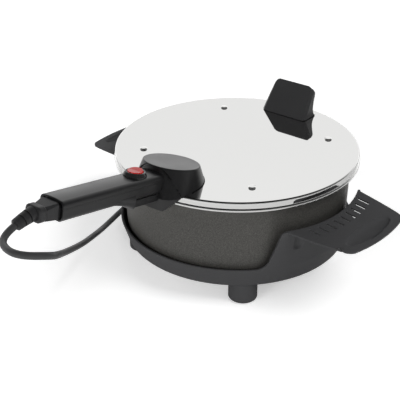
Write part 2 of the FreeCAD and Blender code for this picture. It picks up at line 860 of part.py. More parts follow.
def hub_solid(grow=0.0, drop=0.0, low=None):
    """The hub's drum above the cover, drawn from its plan to the sloping disc."""
    z0 = cover_z if low is None else low
    drum = Part.makeLoft([hub_plan(cover_z, grow), hub_disc(grow, drop)], True, True)
    if z0 < cover_z:
        base = Part.Face(hub_plan(z0, grow)).extrude(Z * (cover_z - z0))
        drum = drum.fuse(base)
    return drum


def seam_side(offset, outward):
    """Half space on one side of the leaning seam between cap and collar."""
    y0 = hub_seam_y + offset
    lean = math.tan(math.radians(hub_seam_lean))
    z0, z1 = cover_z - tool_len / 4, cover_z + tool_len / 4
    ya, yb = y0 - lean * (z0 - cover_z), y0 - lean * (z1 - cover_z)
    far = -tool_len if outward else tool_len / 2
    half_space = polygon([(0, ya, z0), (0, yb, z1), (0, far, z1), (0, far, z0)])
    return moved(half_space.extrude(X * tool_len), -tool_len / 2, 0, 0)


def hub_cap():
    shell = hub_solid()
    top = [e for e in shell.Edges if e.CenterOfMass.z > cover_z + 15 and e.Length > 150]
    shell = shell.makeFillet(1.2, top)
    shell = shell.cut(hub_hollow())
    return shell.common(seam_side(seam_gap / 2, False))


def hub_hollow():
    return hub_solid(-hub_wall, hub_wall, cover_z - 20)


def hub_collar():
    """Outer part of the hub, which wraps over the lid's rim and takes the handle."""
    body = hub_solid(low=cover_z - hub_skirt)
    above = box(-tool_len / 2, tool_len / 2, -tool_len, 0, cover_z - 0.01, cover_z + tool_len / 2)
    body = body.cut(hub_hollow().common(above))
    body = body.cut(disc(lid_r + rim_clear, 0, cover_z))
    body = body.common(seam_side(-seam_gap / 2, True))
    body = body.cut([collar_side(1), collar_side(-1)])
    return body.cut(in_handle(neck_opening()))


def collar_side(side):
    """Wedge that leans a lower corner of the collar in, below the cover."""
    x, drop = hub_r - collar_corner, hub_skirt + 5
    low = x - drop * math.tan(math.radians(collar_lean))
    wedge = polygon([(side * x, 0, cover_z), (side * 2 * x, 0, cover_z),
                     (side * 2 * x, 0, cover_z - drop), (side * low, 0, cover_z - drop)])
    return moved(wedge.extrude(Y * tool_len), 0, hub_y - tool_len / 2, 0)


def neck_opening():
    """Way through the collar's wall for the bracket and the wires, covered by the handle."""
    half, low, top = handle_half - handle_wall - 0.5, -handle_h + handle_wall + 0.5, -handle_wall - 1.5
    return cutter_u(-8, 30, low, top, half)


# Handle
def handle_section(u, inset=0.0):
    """Section across the handle: crowned top, round upper edges, upright sides."""
    h, k, d = handle_half - inset, handle_round_r - inset, handle_crown_drop
    top, low = -inset, -handle_h + inset
    q = cosd(45)
    side = top - d - k
    kb = k
    edges = [arc((u, -h + k, top - d), (u, 0, top), (u, h - k, top - d)),
             arc((u, h - k, top - d), (u, h - k + k * q, top - d - k + k * q), (u, h, side)),
             line((u, h, side), (u, h, low + kb)),
             arc((u, h, low + kb), (u, h - kb + kb * q, low + kb - kb * q), (u, h - kb, low)),
             line((u, h - kb, low), (u, -h + kb, low)),
             arc((u, -h + kb, low), (u, -h + kb - kb * q, low + kb - kb * q), (u, -h, low + kb)),
             line((u, -h, low + kb), (u, -h, side)),
             arc((u, -h, side), (u, -h + k - k * q, top - d - k + k * q), (u, -h + k, top - d))]
    return face_of(edges)


def handle_bar(u0, u1, inset=0.0):
    return handle_section(u0, inset).extrude(X * (u1 - u0))


def cutter_u(u0, u1, w0, w1, half=60.0):
    return box(u0, u1, -half, half, w0, w1)


def hub_envelope():
    """Room that the hub takes, which the handle's shells stop short of."""
    return hub_solid(grow=handle_gap, low=cover_z - hub_skirt - 1)


def mouth_start():
    """Where the handle's hollow widens for the inlet."""
    return handle_len - inlet_set_back - inlet_depth - inlet_base


def handle_hollow():
    """Room inside both shells, wider at the mouth where the inlet sits."""
    u1 = mouth_start()
    room = handle_bar(-30, u1, handle_wall)
    return room.fuse(handle_bar(u1 - 0.01, handle_len + 5, mouth_wall))


def handle_screw_us():
    return [bracket_reach - 6, mouth_start() - 12]


def bosses(u, w0, w1, r):
    return Part.makeCylinder(r, w1 - w0, Vector(u, 0, w0), Z)


def switch_hole(r):
    return Part.makeCylinder(r, 40, Vector(switch_u, 0, -20), Z)


def handle_upper():
    bar = handle_bar(-20, handle_len)
    front = [e for e in bar.Edges if abs(e.CenterOfMass.x - handle_len) < 0.01 and e.CenterOfMass.z > -seam_drop]
    bar = bar.makeFillet(mouth_wall * 0.8, front)
    shell = bar.cut(handle_hollow())
    mid = bracket_w()
    for u in handle_screw_us():
        shell = shell.fuse(bosses(u, mid, -handle_wall + 0.5, boss_r))
    shell = shell.common(cutter_u(-20, handle_len + 5, -seam_drop, 5).fuse(lower_boss_room(mid)))
    shell = shell.cut(switch_hole(switch_body_r + 0.2))
    seat = Part.makeCylinder(switch_r + 0.1, 20, Vector(switch_u, 0, -switch_seat), Z)
    shell = shell.cut(seat)
    for u in handle_screw_us():
        shell = shell.cut(bosses(u, mid - 1, -handle_wall - 0.5, screw_r + 0.05))
    return in_handle(shell).cut(hub_envelope())


def lower_boss_room(mid):
    room = [bosses(u, mid, -seam_drop + 1, boss_r) for u in handle_screw_us()]
    return room[0].fuse(room[1:])


def bracket_w():
    """Height, in the handle's axes, of the bracket's upper face."""
    return -handle_h * 0.62


def guard_section(u, half, low):
    top = -handle_h * 0.55
    b, mid = (top - low) / 2, (top + low) / 2
    points = []
    for i in range(16):
        a = 360.0 * i / 16
        c, s = cosd(a), sind(a)
        v, w = math.copysign(abs(c) ** guard_power, c), math.copysign(abs(s) ** guard_power, s)
        points.append((u, half * v, mid + b * w))
    return closed_curve(points)


def guard():
    """Finger guard: the lower shell's belly, which sweeps down and out towards the pan."""
    mid_u = (guard_start + guard_end) / 2
    h, low = handle_half - 0.3, -handle_h
    return Part.makeLoft([guard_section(guard_start, h - 0.6, low + 0.3),
                          guard_section(mid_u, h + guard_spread * 0.25, low - guard_drop * 0.3),
                          guard_section(guard_end, h + guard_spread, low - guard_drop)], True, False)


def handle_lower():
    bar = handle_bar(-20, handle_len).fuse(guard())
    shell = bar.cut(handle_hollow())
    below = bracket_w() - bracket_t
    for u in handle_screw_us():
        top = below if u < bracket_reach else bracket_w()
        shell = shell.fuse(bosses(u, -handle_h + 0.5, top, boss_r + 1))
    shell = shell.common(cutter_u(-20, handle_len + 5, -handle_h - 30, -seam_drop - seam_gap))
    for u in handle_screw_us():
        shell = shell.cut(bosses(u, -handle_h - 1, -seam_drop, screw_r + 0.1))
        shell = shell.cut(bosses(u, -handle_h - 20, -handle_h + screw_head_h + 0.6, screw_head_r + 0.2))
    return in_handle(shell).cut(hub_envelope())


def neck_block():
    """Rest block under the handle, between the hub and the finger guard."""
    low = -handle_h - block_drop
    block = cutter_u(-20, guard_end - seam_gap, low, -handle_h, block_half)
    ends = [e for e in block.Edges if abs(e.CenterOfMass.z - low) < 0.01 and e.BoundBox.XLength > 10]
    return in_handle(block.makeFillet(2.0, ends)).cut(hub_envelope())


def handle_screws():
    screws = []
    for u in handle_screw_us():
        head = bosses(u, -handle_h + 0.6, -handle_h + 0.6 + screw_head_h, screw_head_r)
        shank = bosses(u, -handle_h + 1, -handle_wall - 1.5, screw_r)
        screws.append(in_handle(head.fuse(shank).removeSplitter()))
    return group(screws)


def bracket_outline(grow=0.0):
    """Side view of the steel bracket: flat on the cover, up through the collar, along the handle."""
    t, g = bracket_t, grow
    top = bracket_w()
    a = handle_point(bracket_bend_u, 0, top)
    b = handle_point(bracket_reach, 0, top)
    c = handle_point(bracket_reach, 0, top - t)
    d = handle_point(bracket_bend_u + t * 0.2, 0, top - t)
    foot_y = hub_y - bracket_foot
    points = [(0, hub_y + 12, cover_z - g), (0, hub_y + 12, cover_z + t + g),
              (0, foot_y + t * 0.4, cover_z + t + g), (0, a.y, a.z + g), (0, b.y, b.z + g),
              (0, c.y, c.z - g), (0, d.y, d.z - g), (0, foot_y, cover_z - g)]
    return polygon(points)


def bracket_solid(grow=0.0):
    half = bracket_half + grow
    return moved(bracket_outline(grow).extrude(X * 2 * half), -half, 0, 0)


def handle_bracket():
    body = bracket_solid()
    for x, y in bracket_places():
        body = body.cut(disc(screw_r + 0.1, cover_z - 1, cover_z + 10, x, y))
    u = handle_screw_us()[0]
    return body.cut(in_handle(bosses(u, -handle_h, 0, screw_r + 0.1)))


def panel_screws(places, reach):
    """Screws up through the cover, with their heads under it."""
    head_z = cover_under_z - screw_head_h
    screw = disc(screw_head_r, head_z, cover_under_z).fuse(disc(screw_r, head_z + 0.5, cover_z + reach))
    return group([moved(screw.removeSplitter(), x, y, 0) for x, y in places])


def bracket_screws():
    return panel_screws(bracket_places(), bracket_t + nut_h + 1)


def bracket_nuts():
    z0 = cover_z + bracket_t
    nut = hex_nut(nut_flats * 0.8, screw_r + 0.02, z0, z0 + nut_h * 0.8)
    return group([moved(nut, x, y, 0) for x, y in bracket_places()])


def knob_screws():
    return panel_screws(knob_places(), knob_screw_depth)


def terminal_block():
    x, y = leg_places()[0]
    half = abs(x) + element_tube_r + block_wall
    body = box(-half, half, y - terminal_half_y, y + terminal_half_y, cover_z, cover_z + terminal_h)
    body = body.makeFillet(1.0, [e for e in body.Edges if e.BoundBox.ZLength > terminal_h - 0.1])
    for px, py in leg_places():
        body = body.cut(disc(element_tube_r + 0.1, cover_z - 1, cover_z + terminal_h + 1, px, py))
    return body


def thermal_cutout():
    cup = disc(cutout_r, cover_z, cover_z + cutout_h, cutout_x, hub_y - cutout_back)
    cup = cup.makeFillet(0.8, [e for e in cup.Edges if e.CenterOfMass.z > cover_z + cutout_h - 0.1])
    tabs = [box(cutout_x + s * 4 - 0.4, cutout_x + s * 4 + 0.4, hub_y - cutout_back - 3, hub_y - cutout_back + 3, cover_z + cutout_h - 0.5,
                cover_z + cutout_h + 4) for s in (-1, 1)]
    return cup.fuse(tabs)


# Switch
def switch_axis_shape(profile):
    """A round piece about the switch's own axis; the profile is (radius, height) points."""
    face = polygon([(r, 0, w) for r, w in profile])
    return moved(face.revolve(ORIGIN, Z, 360), switch_u, 0, 0)


def switch_bezel():
    r_in, r, w0, w1 = rocker_r + rocker_clear, switch_r, -switch_seat, switch_rim_h - switch_seat
    ring = switch_axis_shape([(r_in, w0), (r, w0), (r, w0 + 1.6), (r - 1.6, w1 - 0.5), (r - 2.2, w1), (r_in, w1)])
    return in_handle(ring.cut(pin_bar(rocker_pin_r + 0.02, pin_half() + 0.02)))


def pin_half():
    return switch_r - 1.4


def pin_bar(r, half):
    return Part.makeCylinder(r, 2 * half, Vector(switch_u, -half, pivot_w()), Y)


def pivot_w():
    return switch_rim_h * 0.42 - switch_seat + 0.4


def switch_body():
    r, r_in = switch_body_r, rocker_r + rocker_clear
    top = -switch_seat
    floor = top - switch_body_h * 0.45
    cup = switch_axis_shape([(0, top - switch_body_h), (r, top - switch_body_h), (r, top), (r_in, top),
                             (r_in, floor), (0, floor)])
    return in_handle(cup)


def rocker():
    """Round paddle with a shallow V top, tipped to one side as it stands when off."""
    w = pivot_w()
    top = switch_rim_h - switch_seat + rocker_rise
    paddle = switch_axis_shape([(0, w - 2.6), (rocker_r, w - 2.6), (rocker_r, top), (0, top)])
    ball = Part.makeSphere(rocker_r + 0.15, Vector(switch_u, 0, w))
    paddle = paddle.common(ball)
    fall = rocker_r * math.tan(math.radians(rocker_tilt / 2))
    dish = polygon([(switch_u - 12, 0, top), (switch_u, 0, top - fall), (switch_u + 12, 0, top),
                    (switch_u + 12, 0, top + 9), (switch_u - 12, 0, top + 9)])
    paddle = paddle.cut(moved(dish.extrude(Y * 40), 0, -20, 0))
    paddle = paddle.cut(pin_bar(rocker_pin_r + pin_clear, 20))
    paddle = turned(paddle, rocker_tilt / 2, Vector(switch_u, 0, w), Y)
    return in_handle(paddle)


def rocker_pin():
    return in_handle(pin_bar(rocker_pin_r, pin_half()))


# Inlet and the connector in it
def plug_section(u, grow=0.0):
    """Six-sided section of a mains connector: flat below, chamfered above."""
    h, b, k = plug_in_w / 2 + grow, plug_in_h / 2 + grow, plug_in_chamfer
    mid = -handle_h / 2
    return polygon([(u, -h, mid - b), (u, h, mid - b), (u, h, mid + b - k), (u, h - k, mid + b),
                    (u, -h + k, mid + b), (u, -h, mid + b - k)])


def blade_places():
    mid = -handle_h / 2 - 1.0
    return [(-blade_pitch, mid), (0, mid + blade_earth_drop), (blade_pitch, mid)]


def blade(u0, u1, v, w, grow=0.0):
    a, b = blade_t / 2 + grow, blade_w / 2 + grow
    return box(u0, u1, v - a, v + a, w - b, w + b)


def socket_floor_u():
    return mouth_start() + inlet_base


def inlet_socket():
    u0, u1 = mouth_start() + 0.2, handle_len - inlet_set_back
    body = handle_bar(u0, u1, mouth_wall + 0.15)
    body = body.cut(plug_section(socket_floor_u(), plug_in_clear).extrude(X * 40))
    for v, w in blade_places():
        body = body.cut(blade(u0 - 5, u1, v, w, 0.02))
    return in_handle(body)


def inlet_pins():
    u0, u1 = mouth_start() - 5, socket_floor_u() + blade_len
    return group([in_handle(blade(u0, u1, v, w)) for v, w in blade_places()])


def connector_body():
    """Moulded connector: the part in the inlet, a tapering grip and a round-edged collar."""
    u0, u1 = socket_floor_u() + 0.3, handle_len + 2
    u2 = handle_len + body_out
    body = plug_section(u0).extrude(X * (u1 - u0))
    mid = -handle_h / 2
    front = grip_section(u1, plug_in_w / 2 + 0.2, plug_in_h / 2 + 0.2, mid, 1.6)
    back = grip_section(u2, collar_half - 1.0, collar_h / 2 - 1.4, collar_w, 3.0)
    grip = Part.makeLoft([Part.Wire(front.Edges), Part.Wire(back.Edges)], True, True)
    plate = collar_plate(u2 - 1, u2 + collar_len)
    body = body.fuse([grip, plate]).removeSplitter()
    for v, w in blade_places():
        slot = blade(u0 - 1, socket_floor_u() + blade_len + 1.5, v, w, blade_clear + contact_t)
        body = body.cut(slot)
    return in_handle(body)


def grip_section(u, h, b, mid, k):
    return polygon([(u, -h, mid - b), (u, h, mid - b), (u, h, mid + b - k), (u, h - k, mid + b),
                    (u, -h + k, mid + b), (u, -h, mid + b - k)])


def collar_end():
    return handle_len + body_out + collar_len


def collar_plate(u0, u1):
    w = collar_w
    plate = box(u0, u1, -collar_half, collar_half, w - collar_h / 2, w + collar_h / 2)
    long_edges = [e for e in plate.Edges if e.BoundBox.XLength > u1 - u0 - 0.1]
    plate = plate.makeFillet(5.0, long_edges)
    return plate.makeFillet(2.0, [e for e in plate.Edges if e.BoundBox.XLength < 0.01])


def relief_frame(s):
    """Point and direction at distance s along the drooping strain relief."""
    u, w = collar_end(), relief_w
    a0 = relief_droop_start
    a = a0 + (relief_droop_end - a0) * s / relief_len
    r = relief_len / math.radians(relief_droop_end - a0)
    point = handle_point(u + r * (sind(a) - sind(a0)), 0, w - r * (cosd(a0) - cosd(a)))
    tilt = handle_slope - a
    return point, Vector(0, -cosd(tilt), sind(tilt))


def connector_relief():
    """Tapered relief with ring grooves, as a stack of discs along its droop."""
    stations = [(-relief_sunk, 0), (0.0, 0)]
    pitch = relief_len / relief_rings
    for i in range(1, relief_rings):
        s = i * pitch
        stations += [(s - relief_groove_w, 0), (s - relief_groove_w + 0.2, 1), (s - 0.2, 1), (s, 0)]
    stations += [(relief_len - 1.0, 0), (relief_len, 0.8)]
    wires = []
    for s, deep in stations:
        point, direction = relief_frame(s)
        r = relief_r_big + (relief_r_small - relief_r_big) * s / relief_len - relief_groove * deep
        wires.append(Part.Wire([Part.makeCircle(r, point, direction)]))
    relief = Part.makeLoft(wires, True, True)
    return relief.cut(in_handle(cutter_u(collar_end() - 20, collar_end(), relief_w - 20, relief_w + 20)))


def connector_contacts():
    contacts = []
    for v, w in blade_places():
        u0, u1 = socket_floor_u() + 1.2, socket_floor_u() + blade_len + 1.3
        outer = blade(u0, u1, v, w, blade_clear + contact_t - 0.02)
        contacts.append(in_handle(outer.cut(blade(u0 - 1, u1 + 1, v, w, blade_clear))))
    return group(contacts)


# Rear knob
def rear_knob():
    z, y, h = cover_z, knob_y, knob_h
    yt, d, f = y + knob_lean, knob_top_depth, knob_top_fall
    waist = (0, y + knob_waist_y, z + knob_waist_h)
    neck = (0, y + knob_neck_y, z + knob_neck_h)
    toe = (0, y + knob_toe_y, z + knob_toe_h)
    edges = [line((0, y, z), (0, yt, z + h)), line((0, yt, z + h), (0, yt + d, z + h - f)),
             arc((0, yt + d, z + h - f), neck, waist), arc(waist, toe, (0, y + knob_foot_depth, z)),
             line((0, y + knob_foot_depth, z), (0, y, z))]
    body = moved(face_of(edges).extrude(X * tool_len), -tool_len / 2, 0, 0)
    a, b = knob_half_low, knob_half_high
    front = polygon([(-a, 0, z), (a, 0, z), (b, 0, z + h), (-b, 0, z + h)])
    body = body.common(front.extrude(Y * tool_len))
    upright = [e for e in body.Edges if knob_front_edge(e)]
    body = body.makeChamfer(knob_edge, upright)
    tops = [e for e in body.Edges if knob_top_corner(e)]
    body = body.makeFillet(knob_round_r, tops)
    body = moved(body, knob_x, 0, 0)
    for x, yy in knob_places():
        body = body.cut(disc(screw_r + 0.02, z - 1, z + knob_screw_depth + 1, x, yy))
    return body


def knob_front_edge(edge):
    c, span = edge.CenterOfMass, edge.BoundBox
    return span.ZLength > knob_h - 0.1 and c.y < knob_y + knob_lean and abs(c.x) > knob_half_high


def knob_top_corner(edge):
    c, span = edge.CenterOfMass, edge.BoundBox
    across = span.YLength > knob_top_depth * 0.5 and span.ZLength < knob_top_fall * 1.2
    return across and c.z > cover_z + knob_h - knob_top_fall - 1 and abs(c.x) > knob_half_high - 5


# Wires inside the handle
def wire_route(side):
    u1 = mouth_start() - 6
    w = -handle_h * 0.5
    v = handle_half - handle_wall - wire_r - wire_clear
    a, b = handle_point(u1, side * v, w), handle_point(6, side * v, w)
    x, y = leg_places()[0]
    end = (side * abs(x), y - terminal_half_y + 1, cover_z + terminal_h - 2)
    return [(a.x, a.y, a.z), (b.x, b.y, b.z), (side * v, hub_y - 6, cover_z + terminal_h + 1), end]


def inner_wires():
    return group([routed_tube(wire_route(side), 2 * wire_r) for side in (-1, 1)])


# Lead
def routed_tube(points, d, report=None):
    """A tube along straight runs, joined by arcs as large as the shorter run allows."""
    pts = [Vector(*p) for p in points]
    edges, at = [], pts[0]
    for i in range(1, len(pts) - 1):
        a, b, c = pts[i - 1], pts[i], pts[i + 1]
        run, nxt = b.sub(a), c.sub(b)
        turn = run.getAngle(nxt)
        reach = 0.45 * min(run.Length, nxt.Length)
        radius = reach / math.tan(turn / 2)
        if report is not None:
            report.append((round(radius, 1), round(math.degrees(turn), 1)))
        p = b.sub(Vector(run).normalize() * reach)
        q = b.add(Vector(nxt).normalize() * reach)
        inward = Vector(nxt).normalize().sub(Vector(run).normalize()).normalize()
        mid = b.add(inward * (radius / math.cos(turn / 2) - radius))
        edges.append(Part.LineSegment(at, p).toShape())
        edges.append(Part.Arc(p, mid, q).toShape())
        at = q
    edges.append(Part.LineSegment(at, pts[-1]).toShape())
    path = Part.Wire(edges)
    section = Part.Wire([Part.makeCircle(d / 2, pts[0], pts[1].sub(pts[0]))])
    solid = path.makePipeShell([section], True, False)
    if report is not None:
        report.append(("length", round(path.Length, 1), "volume over section by length",
                       round(solid.Volume / (math.pi * d * d / 4 * path.Length), 4)))
    return solid


def lead_start():
    """First two points of the lead: the relief's end, and one on along its direction."""
    point, direction = relief_frame(relief_len)
    onward = point.add(direction * cord_first_run)
    return [tuple(point), tuple(onward)]


def mains_cord():
    report = []
    solid = routed_tube(lead_start() + cord_points, cord_d, report)
    print("cord radii and turns", report)
    return solid


def coil_r_out():
    return coil_mid_r + coil_turns_wide * cord_d / 2


def coil_r_in():
    return coil_mid_r - coil_turns_wide * cord_d / 2


def cord_coil():
    """Outer shape of the put-away coil, lying on the table."""
    z0 = tie_t
    ring = tube(coil_r_out(), coil_r_in(), z0, z0 + coil_turns_high * cord_d, coil_x, coil_y)
    return ring.makeFillet(cord_d * 0.45, [e for e in ring.Edges if e.BoundBox.ZLength < 0.01])


def coil_tie():
    """Strap round the coil's section, on the side away from the pan."""
    t, g = tie_t, tie_clear
    r0, r1, top = coil_r_in() - g, coil_r_out() + g, tie_t + coil_turns_high * cord_d + g
    outer = box(r0 - t, r1 + t, -tie_w / 2, tie_w / 2, 0, top + t)
    inner = box(r0, r1, -tie_w, tie_w, t, top)
    return moved(turned(outer.cut(inner), tie_angle), coil_x, coil_y, 0)


def plug_frame(shape):
    """From the plug's own axes (pins along +X) to where it lies beside the coil."""
    copy = turned(shape, plug_angle)
    copy.translate(Vector(plug_x, plug_y, plug_body_r))
    return copy


def mains_plug():
    r, n = plug_body_r, plug_neck_len
    neck = cord_d / 2 + 2.0
    c = cosd(45)
    edges = [line((0, 0, -n), (neck, 0, -n)), line((neck, 0, -n), (neck + 1.5, 0, 0)),
             arc((neck + 1.5, 0, 0), (r * 0.72, 0, 3.5), (r, 0, 10)),
             line((r, 0, 10), (r, 0, plug_body_len)), line((r, 0, plug_body_len), (0, 0, plug_body_len)),
             line((0, 0, plug_body_len), (0, 0, -n))]
    body = turned(spun(face_of(edges)), 90, ORIGIN, Y)
    flats = box(-1, plug_body_len + 1, r - 2.5, r + 5, -r, r)
    body = body.cut(flats).cut(flats.mirror(ORIGIN, Y))
    return plug_frame(body)


def plug_pins():
    pins = []
    for side in (-1, 1):
        shank = Part.makeCylinder(plug_pin_r, plug_pin_len, Vector(plug_body_len, 0, side * plug_pin_pitch / 2), X)
        tips = [e for e in shank.Edges if abs(e.CenterOfMass.x - plug_body_len - plug_pin_len) < 0.01]
        pins.append(plug_frame(shank.makeFillet(1.4, tips)))
    return group(pins)


def plug_point(along):
    """A point on the plug's axis, counted from the body's back end."""
    return (plug_x + along * cosd(plug_angle), plug_y + along * sind(plug_angle), plug_body_r)


def cord_tail():
    """Last stretch of the lead, from the coil's outer turn into the plug's neck."""
    leave = (coil_x, coil_y + coil_r_out() - cord_d / 2, tie_t + cord_d * 1.5)
    end = plug_point(-plug_neck_len + cord_grip)
    bend = plug_point(-plug_neck_len - 18)
    return routed_tube([leave, (bend[0], bend[1], plug_body_r * 0.75), end], cord_d)


nodes = {
    "stand_ring": stand_ring,
    "foot_pads": foot_pads,
    "pan_bowl": pan_bowl,
    "lid_cover": lid_cover,
    "reflector": reflector,
    "insulation_pad": insulation_pad,
    "lid_studs": lid_studs,
    "stud_spacers": stud_spacers,
    "stud_nuts": stud_nuts,
    "heating_element": heating_element,
    "element_clamps": element_clamps,
    "hub_cap": hub_cap,
    "hub_collar": hub_collar,
    "handle_upper": handle_upper,
    "handle_lower": handle_lower,
    "neck_block": neck_block,
    "handle_screws": handle_screws,
    "handle_bracket": handle_bracket,
    "bracket_screws": bracket_screws,
    "bracket_nuts": bracket_nuts,
    "terminal_block": terminal_block,
    "thermal_cutout": thermal_cutout,
    "inner_wires": inner_wires,
    "switch_bezel": switch_bezel,
    "switch_body": switch_body,
    "rocker": rocker,
    "rocker_pin": rocker_pin,
    "inlet_socket": inlet_socket,
    "inlet_pins": inlet_pins,
    "connector_body": connector_body,
    "connector_contacts": connector_contacts,
    "connector_relief": connector_relief,
    "rear_knob": rear_knob,
    "knob_screws": knob_screws,
    "mains_cord": mains_cord,
    "cord_coil": cord_coil,
    "coil_tie": coil_tie,
    "cord_tail": cord_tail,
    "mains_plug": mains_plug,
    "plug_pins": plug_pins,
}

os.makedirs("parts", exist_ok=True)
for name, build in nodes.items():
    shape = build()
    shape.exportStep("parts/" + name + ".step")
    print(name, "valid", shape.isValid(), "solids", len(shape.Solids), "volume", round(shape.Volume), flush=True)
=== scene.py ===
import math

import bpy
import numpy as np
from mathutils import Matrix


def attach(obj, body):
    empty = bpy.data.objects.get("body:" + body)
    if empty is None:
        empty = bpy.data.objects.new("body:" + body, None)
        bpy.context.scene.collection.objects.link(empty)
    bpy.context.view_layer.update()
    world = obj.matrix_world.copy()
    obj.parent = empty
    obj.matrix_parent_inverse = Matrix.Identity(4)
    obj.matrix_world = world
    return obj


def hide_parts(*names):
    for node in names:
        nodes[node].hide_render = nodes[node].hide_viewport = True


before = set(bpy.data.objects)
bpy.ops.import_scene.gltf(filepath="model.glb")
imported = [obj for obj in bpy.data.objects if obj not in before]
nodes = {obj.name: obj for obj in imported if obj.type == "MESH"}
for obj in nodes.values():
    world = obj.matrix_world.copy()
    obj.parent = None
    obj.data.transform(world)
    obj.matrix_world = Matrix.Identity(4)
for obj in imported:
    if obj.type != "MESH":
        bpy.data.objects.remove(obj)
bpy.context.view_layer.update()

# Studio
# A white table top that runs back to a white wall, as for a catalogue picture. Three weak
# soft boxes stand low in front and at the sides, and a broad even lamp shines from above.
VIEW_AZIMUTH, VIEW_ELEVATION, VIEW_ROLL = 38.63, 28.9, -0.22
VIEW_PLACE = (0.57219, -0.78629, 0.59919)
VIEW_LENS, VIEW_SENSOR = 81.664, 36.0

camera_data = bpy.data.cameras.new("camera")
camera_data.sensor_width = VIEW_SENSOR
camera_data.lens = VIEW_LENS
camera_data.clip_end = 50.0
camera = bpy.data.objects.new("camera", camera_data)
bpy.context.scene.collection.objects.link(camera)
camera.matrix_world = (
    Matrix.Translation(VIEW_PLACE)
    @ Matrix.Rotation(math.radians(VIEW_AZIMUTH), 4, "Z")
    @ Matrix.Rotation(math.radians(90 - VIEW_ELEVATION), 4, "X")
    @ Matrix.Rotation(math.radians(VIEW_ROLL), 4, "Z")
)
bpy.context.scene.camera = camera
bpy.context.scene.view_settings.view_transform = "Standard"


def soft_box(name, place, aim, width, height, watts):
    """A rectangular lamp at place whose light goes towards aim. Gloss shows the room alone."""
    data = bpy.data.lights.new(name, "AREA")
    data.shape, data.size, data.size_y, data.energy = "RECTANGLE", width, height, watts
    lamp = bpy.data.objects.new(name, data)
    lamp.visible_glossy = False
    bpy.context.scene.collection.objects.link(lamp)
    way = np.subtract(aim, place)
    turn = math.atan2(-way[0], way[1])
    tip = math.atan2(math.hypot(way[0], way[1]), -way[2])
    lamp.matrix_world = (
        Matrix.Translation(place) @ Matrix.Rotation(turn, 4, "Z") @ Matrix.Rotation(tip, 4, "X")
    )


soft_box("left_box", (-1.60, -0.70, 0.60), (0, 0, 0.1), 1.0, 0.8, 10.0)
soft_box("front_box", (0.00, -1.80, 0.60), (0, -0.1, 0.1), 0.6, 0.5, 10.0)
soft_box("right_box", (1.60, -1.00, 0.50), (0.15, 0, 0.1), 0.5, 0.4, 4.0)

# The broad lamp is high up on the right, so that the table is as bright near the pan as far
# from it.
SKY_STRENGTH, SKY_SPREAD, SKY_TURN, SKY_TIP = 1.6, 35, -75, -40
sky_data = bpy.data.lights.new("even_sky", "SUN")
sky_data.energy = SKY_STRENGTH
sky_data.angle = math.radians(SKY_SPREAD)
sky_lamp = bpy.data.objects.new("even_sky", sky_data)
sky_lamp.visible_glossy = False
sky_lamp.matrix_world = (
    Matrix.Rotation(math.radians(SKY_TURN), 4, "Z") @ Matrix.Rotation(math.radians(SKY_TIP), 4, "X")
)
bpy.context.scene.collection.objects.link(sky_lamp)


def wire(tree, *pairs):
    """Joins the sockets of a node tree: each pair is an output and the input that it feeds."""
    for output, socket in pairs:
        tree.links.new(output, socket)


def maths(tree, operation, second=None):
    """A Math node, whose second input may be a constant."""
    made = tree.nodes.new("ShaderNodeMath")
    made.operation = operation
    if second is not None:
        made.inputs[1].default_value = second
    return made


def map_range(tree, from_low, from_high, to_low, to_high):
    """A Map Range node: from_low to from_high goes in, and to_low to to_high comes out."""
    made = tree.nodes.new("ShaderNodeMapRange")
    made.inputs["From Min"].default_value = from_low
    made.inputs["From Max"].default_value = from_high
    made.inputs["To Min"].default_value = to_low
    made.inputs["To Max"].default_value = to_high
    return made


# The camera sees a white room, and diffuse light comes from a dome that is strongest low
# down. Heights in the room run from 0 below to 1 above.
DOME_FROM, DOME_TO, DOME_LOW, DOME_HIGH = 0.1, 0.9, 0.60, 0.04
world = bpy.data.worlds.new("studio_room")
bpy.context.scene.world = world
world.use_nodes = True
room = world.node_tree
room.nodes.clear()
room_out = room.nodes.new("ShaderNodeOutputWorld")
room_mix = room.nodes.new("ShaderNodeMixShader")
room_seen = room.nodes.new("ShaderNodeBackground")
room_light = room.nodes.new("ShaderNodeBackground")
room_seen.inputs["Color"].default_value = (1, 1, 1, 1)
room_light.inputs["Color"].default_value = (1, 1, 1, 1)
room_path = room.nodes.new("ShaderNodeLightPath")
room_either = maths(room, "MAXIMUM")
room_any = maths(room, "MAXIMUM")
room_place = room.nodes.new("ShaderNodeTexCoord")
room_height = room.nodes.new("ShaderNodeSeparateXYZ")
room_dome = map_range(room, DOME_FROM, DOME_TO, DOME_LOW, DOME_HIGH)
wire(
    room,
    (room_path.outputs["Is Camera Ray"], room_either.inputs[0]),
    (room_path.outputs["Is Glossy Ray"], room_either.inputs[1]),
    (room_either.outputs[0], room_any.inputs[0]),
    (room_path.outputs["Is Transmission Ray"], room_any.inputs[1]),
    (room_any.outputs[0], room_mix.inputs["Fac"]),
    (room_light.outputs[0], room_mix.inputs[1]),
    (room_seen.outputs[0], room_mix.inputs[2]),
    (room_mix.outputs[0], room_out.inputs["Surface"]),
    (room_place.outputs["Generated"], room_height.inputs[0]),
    (room_height.outputs["Z"], room_dome.inputs["Value"]),
    (room_dome.outputs["Result"], room_light.inputs["Strength"]),
)

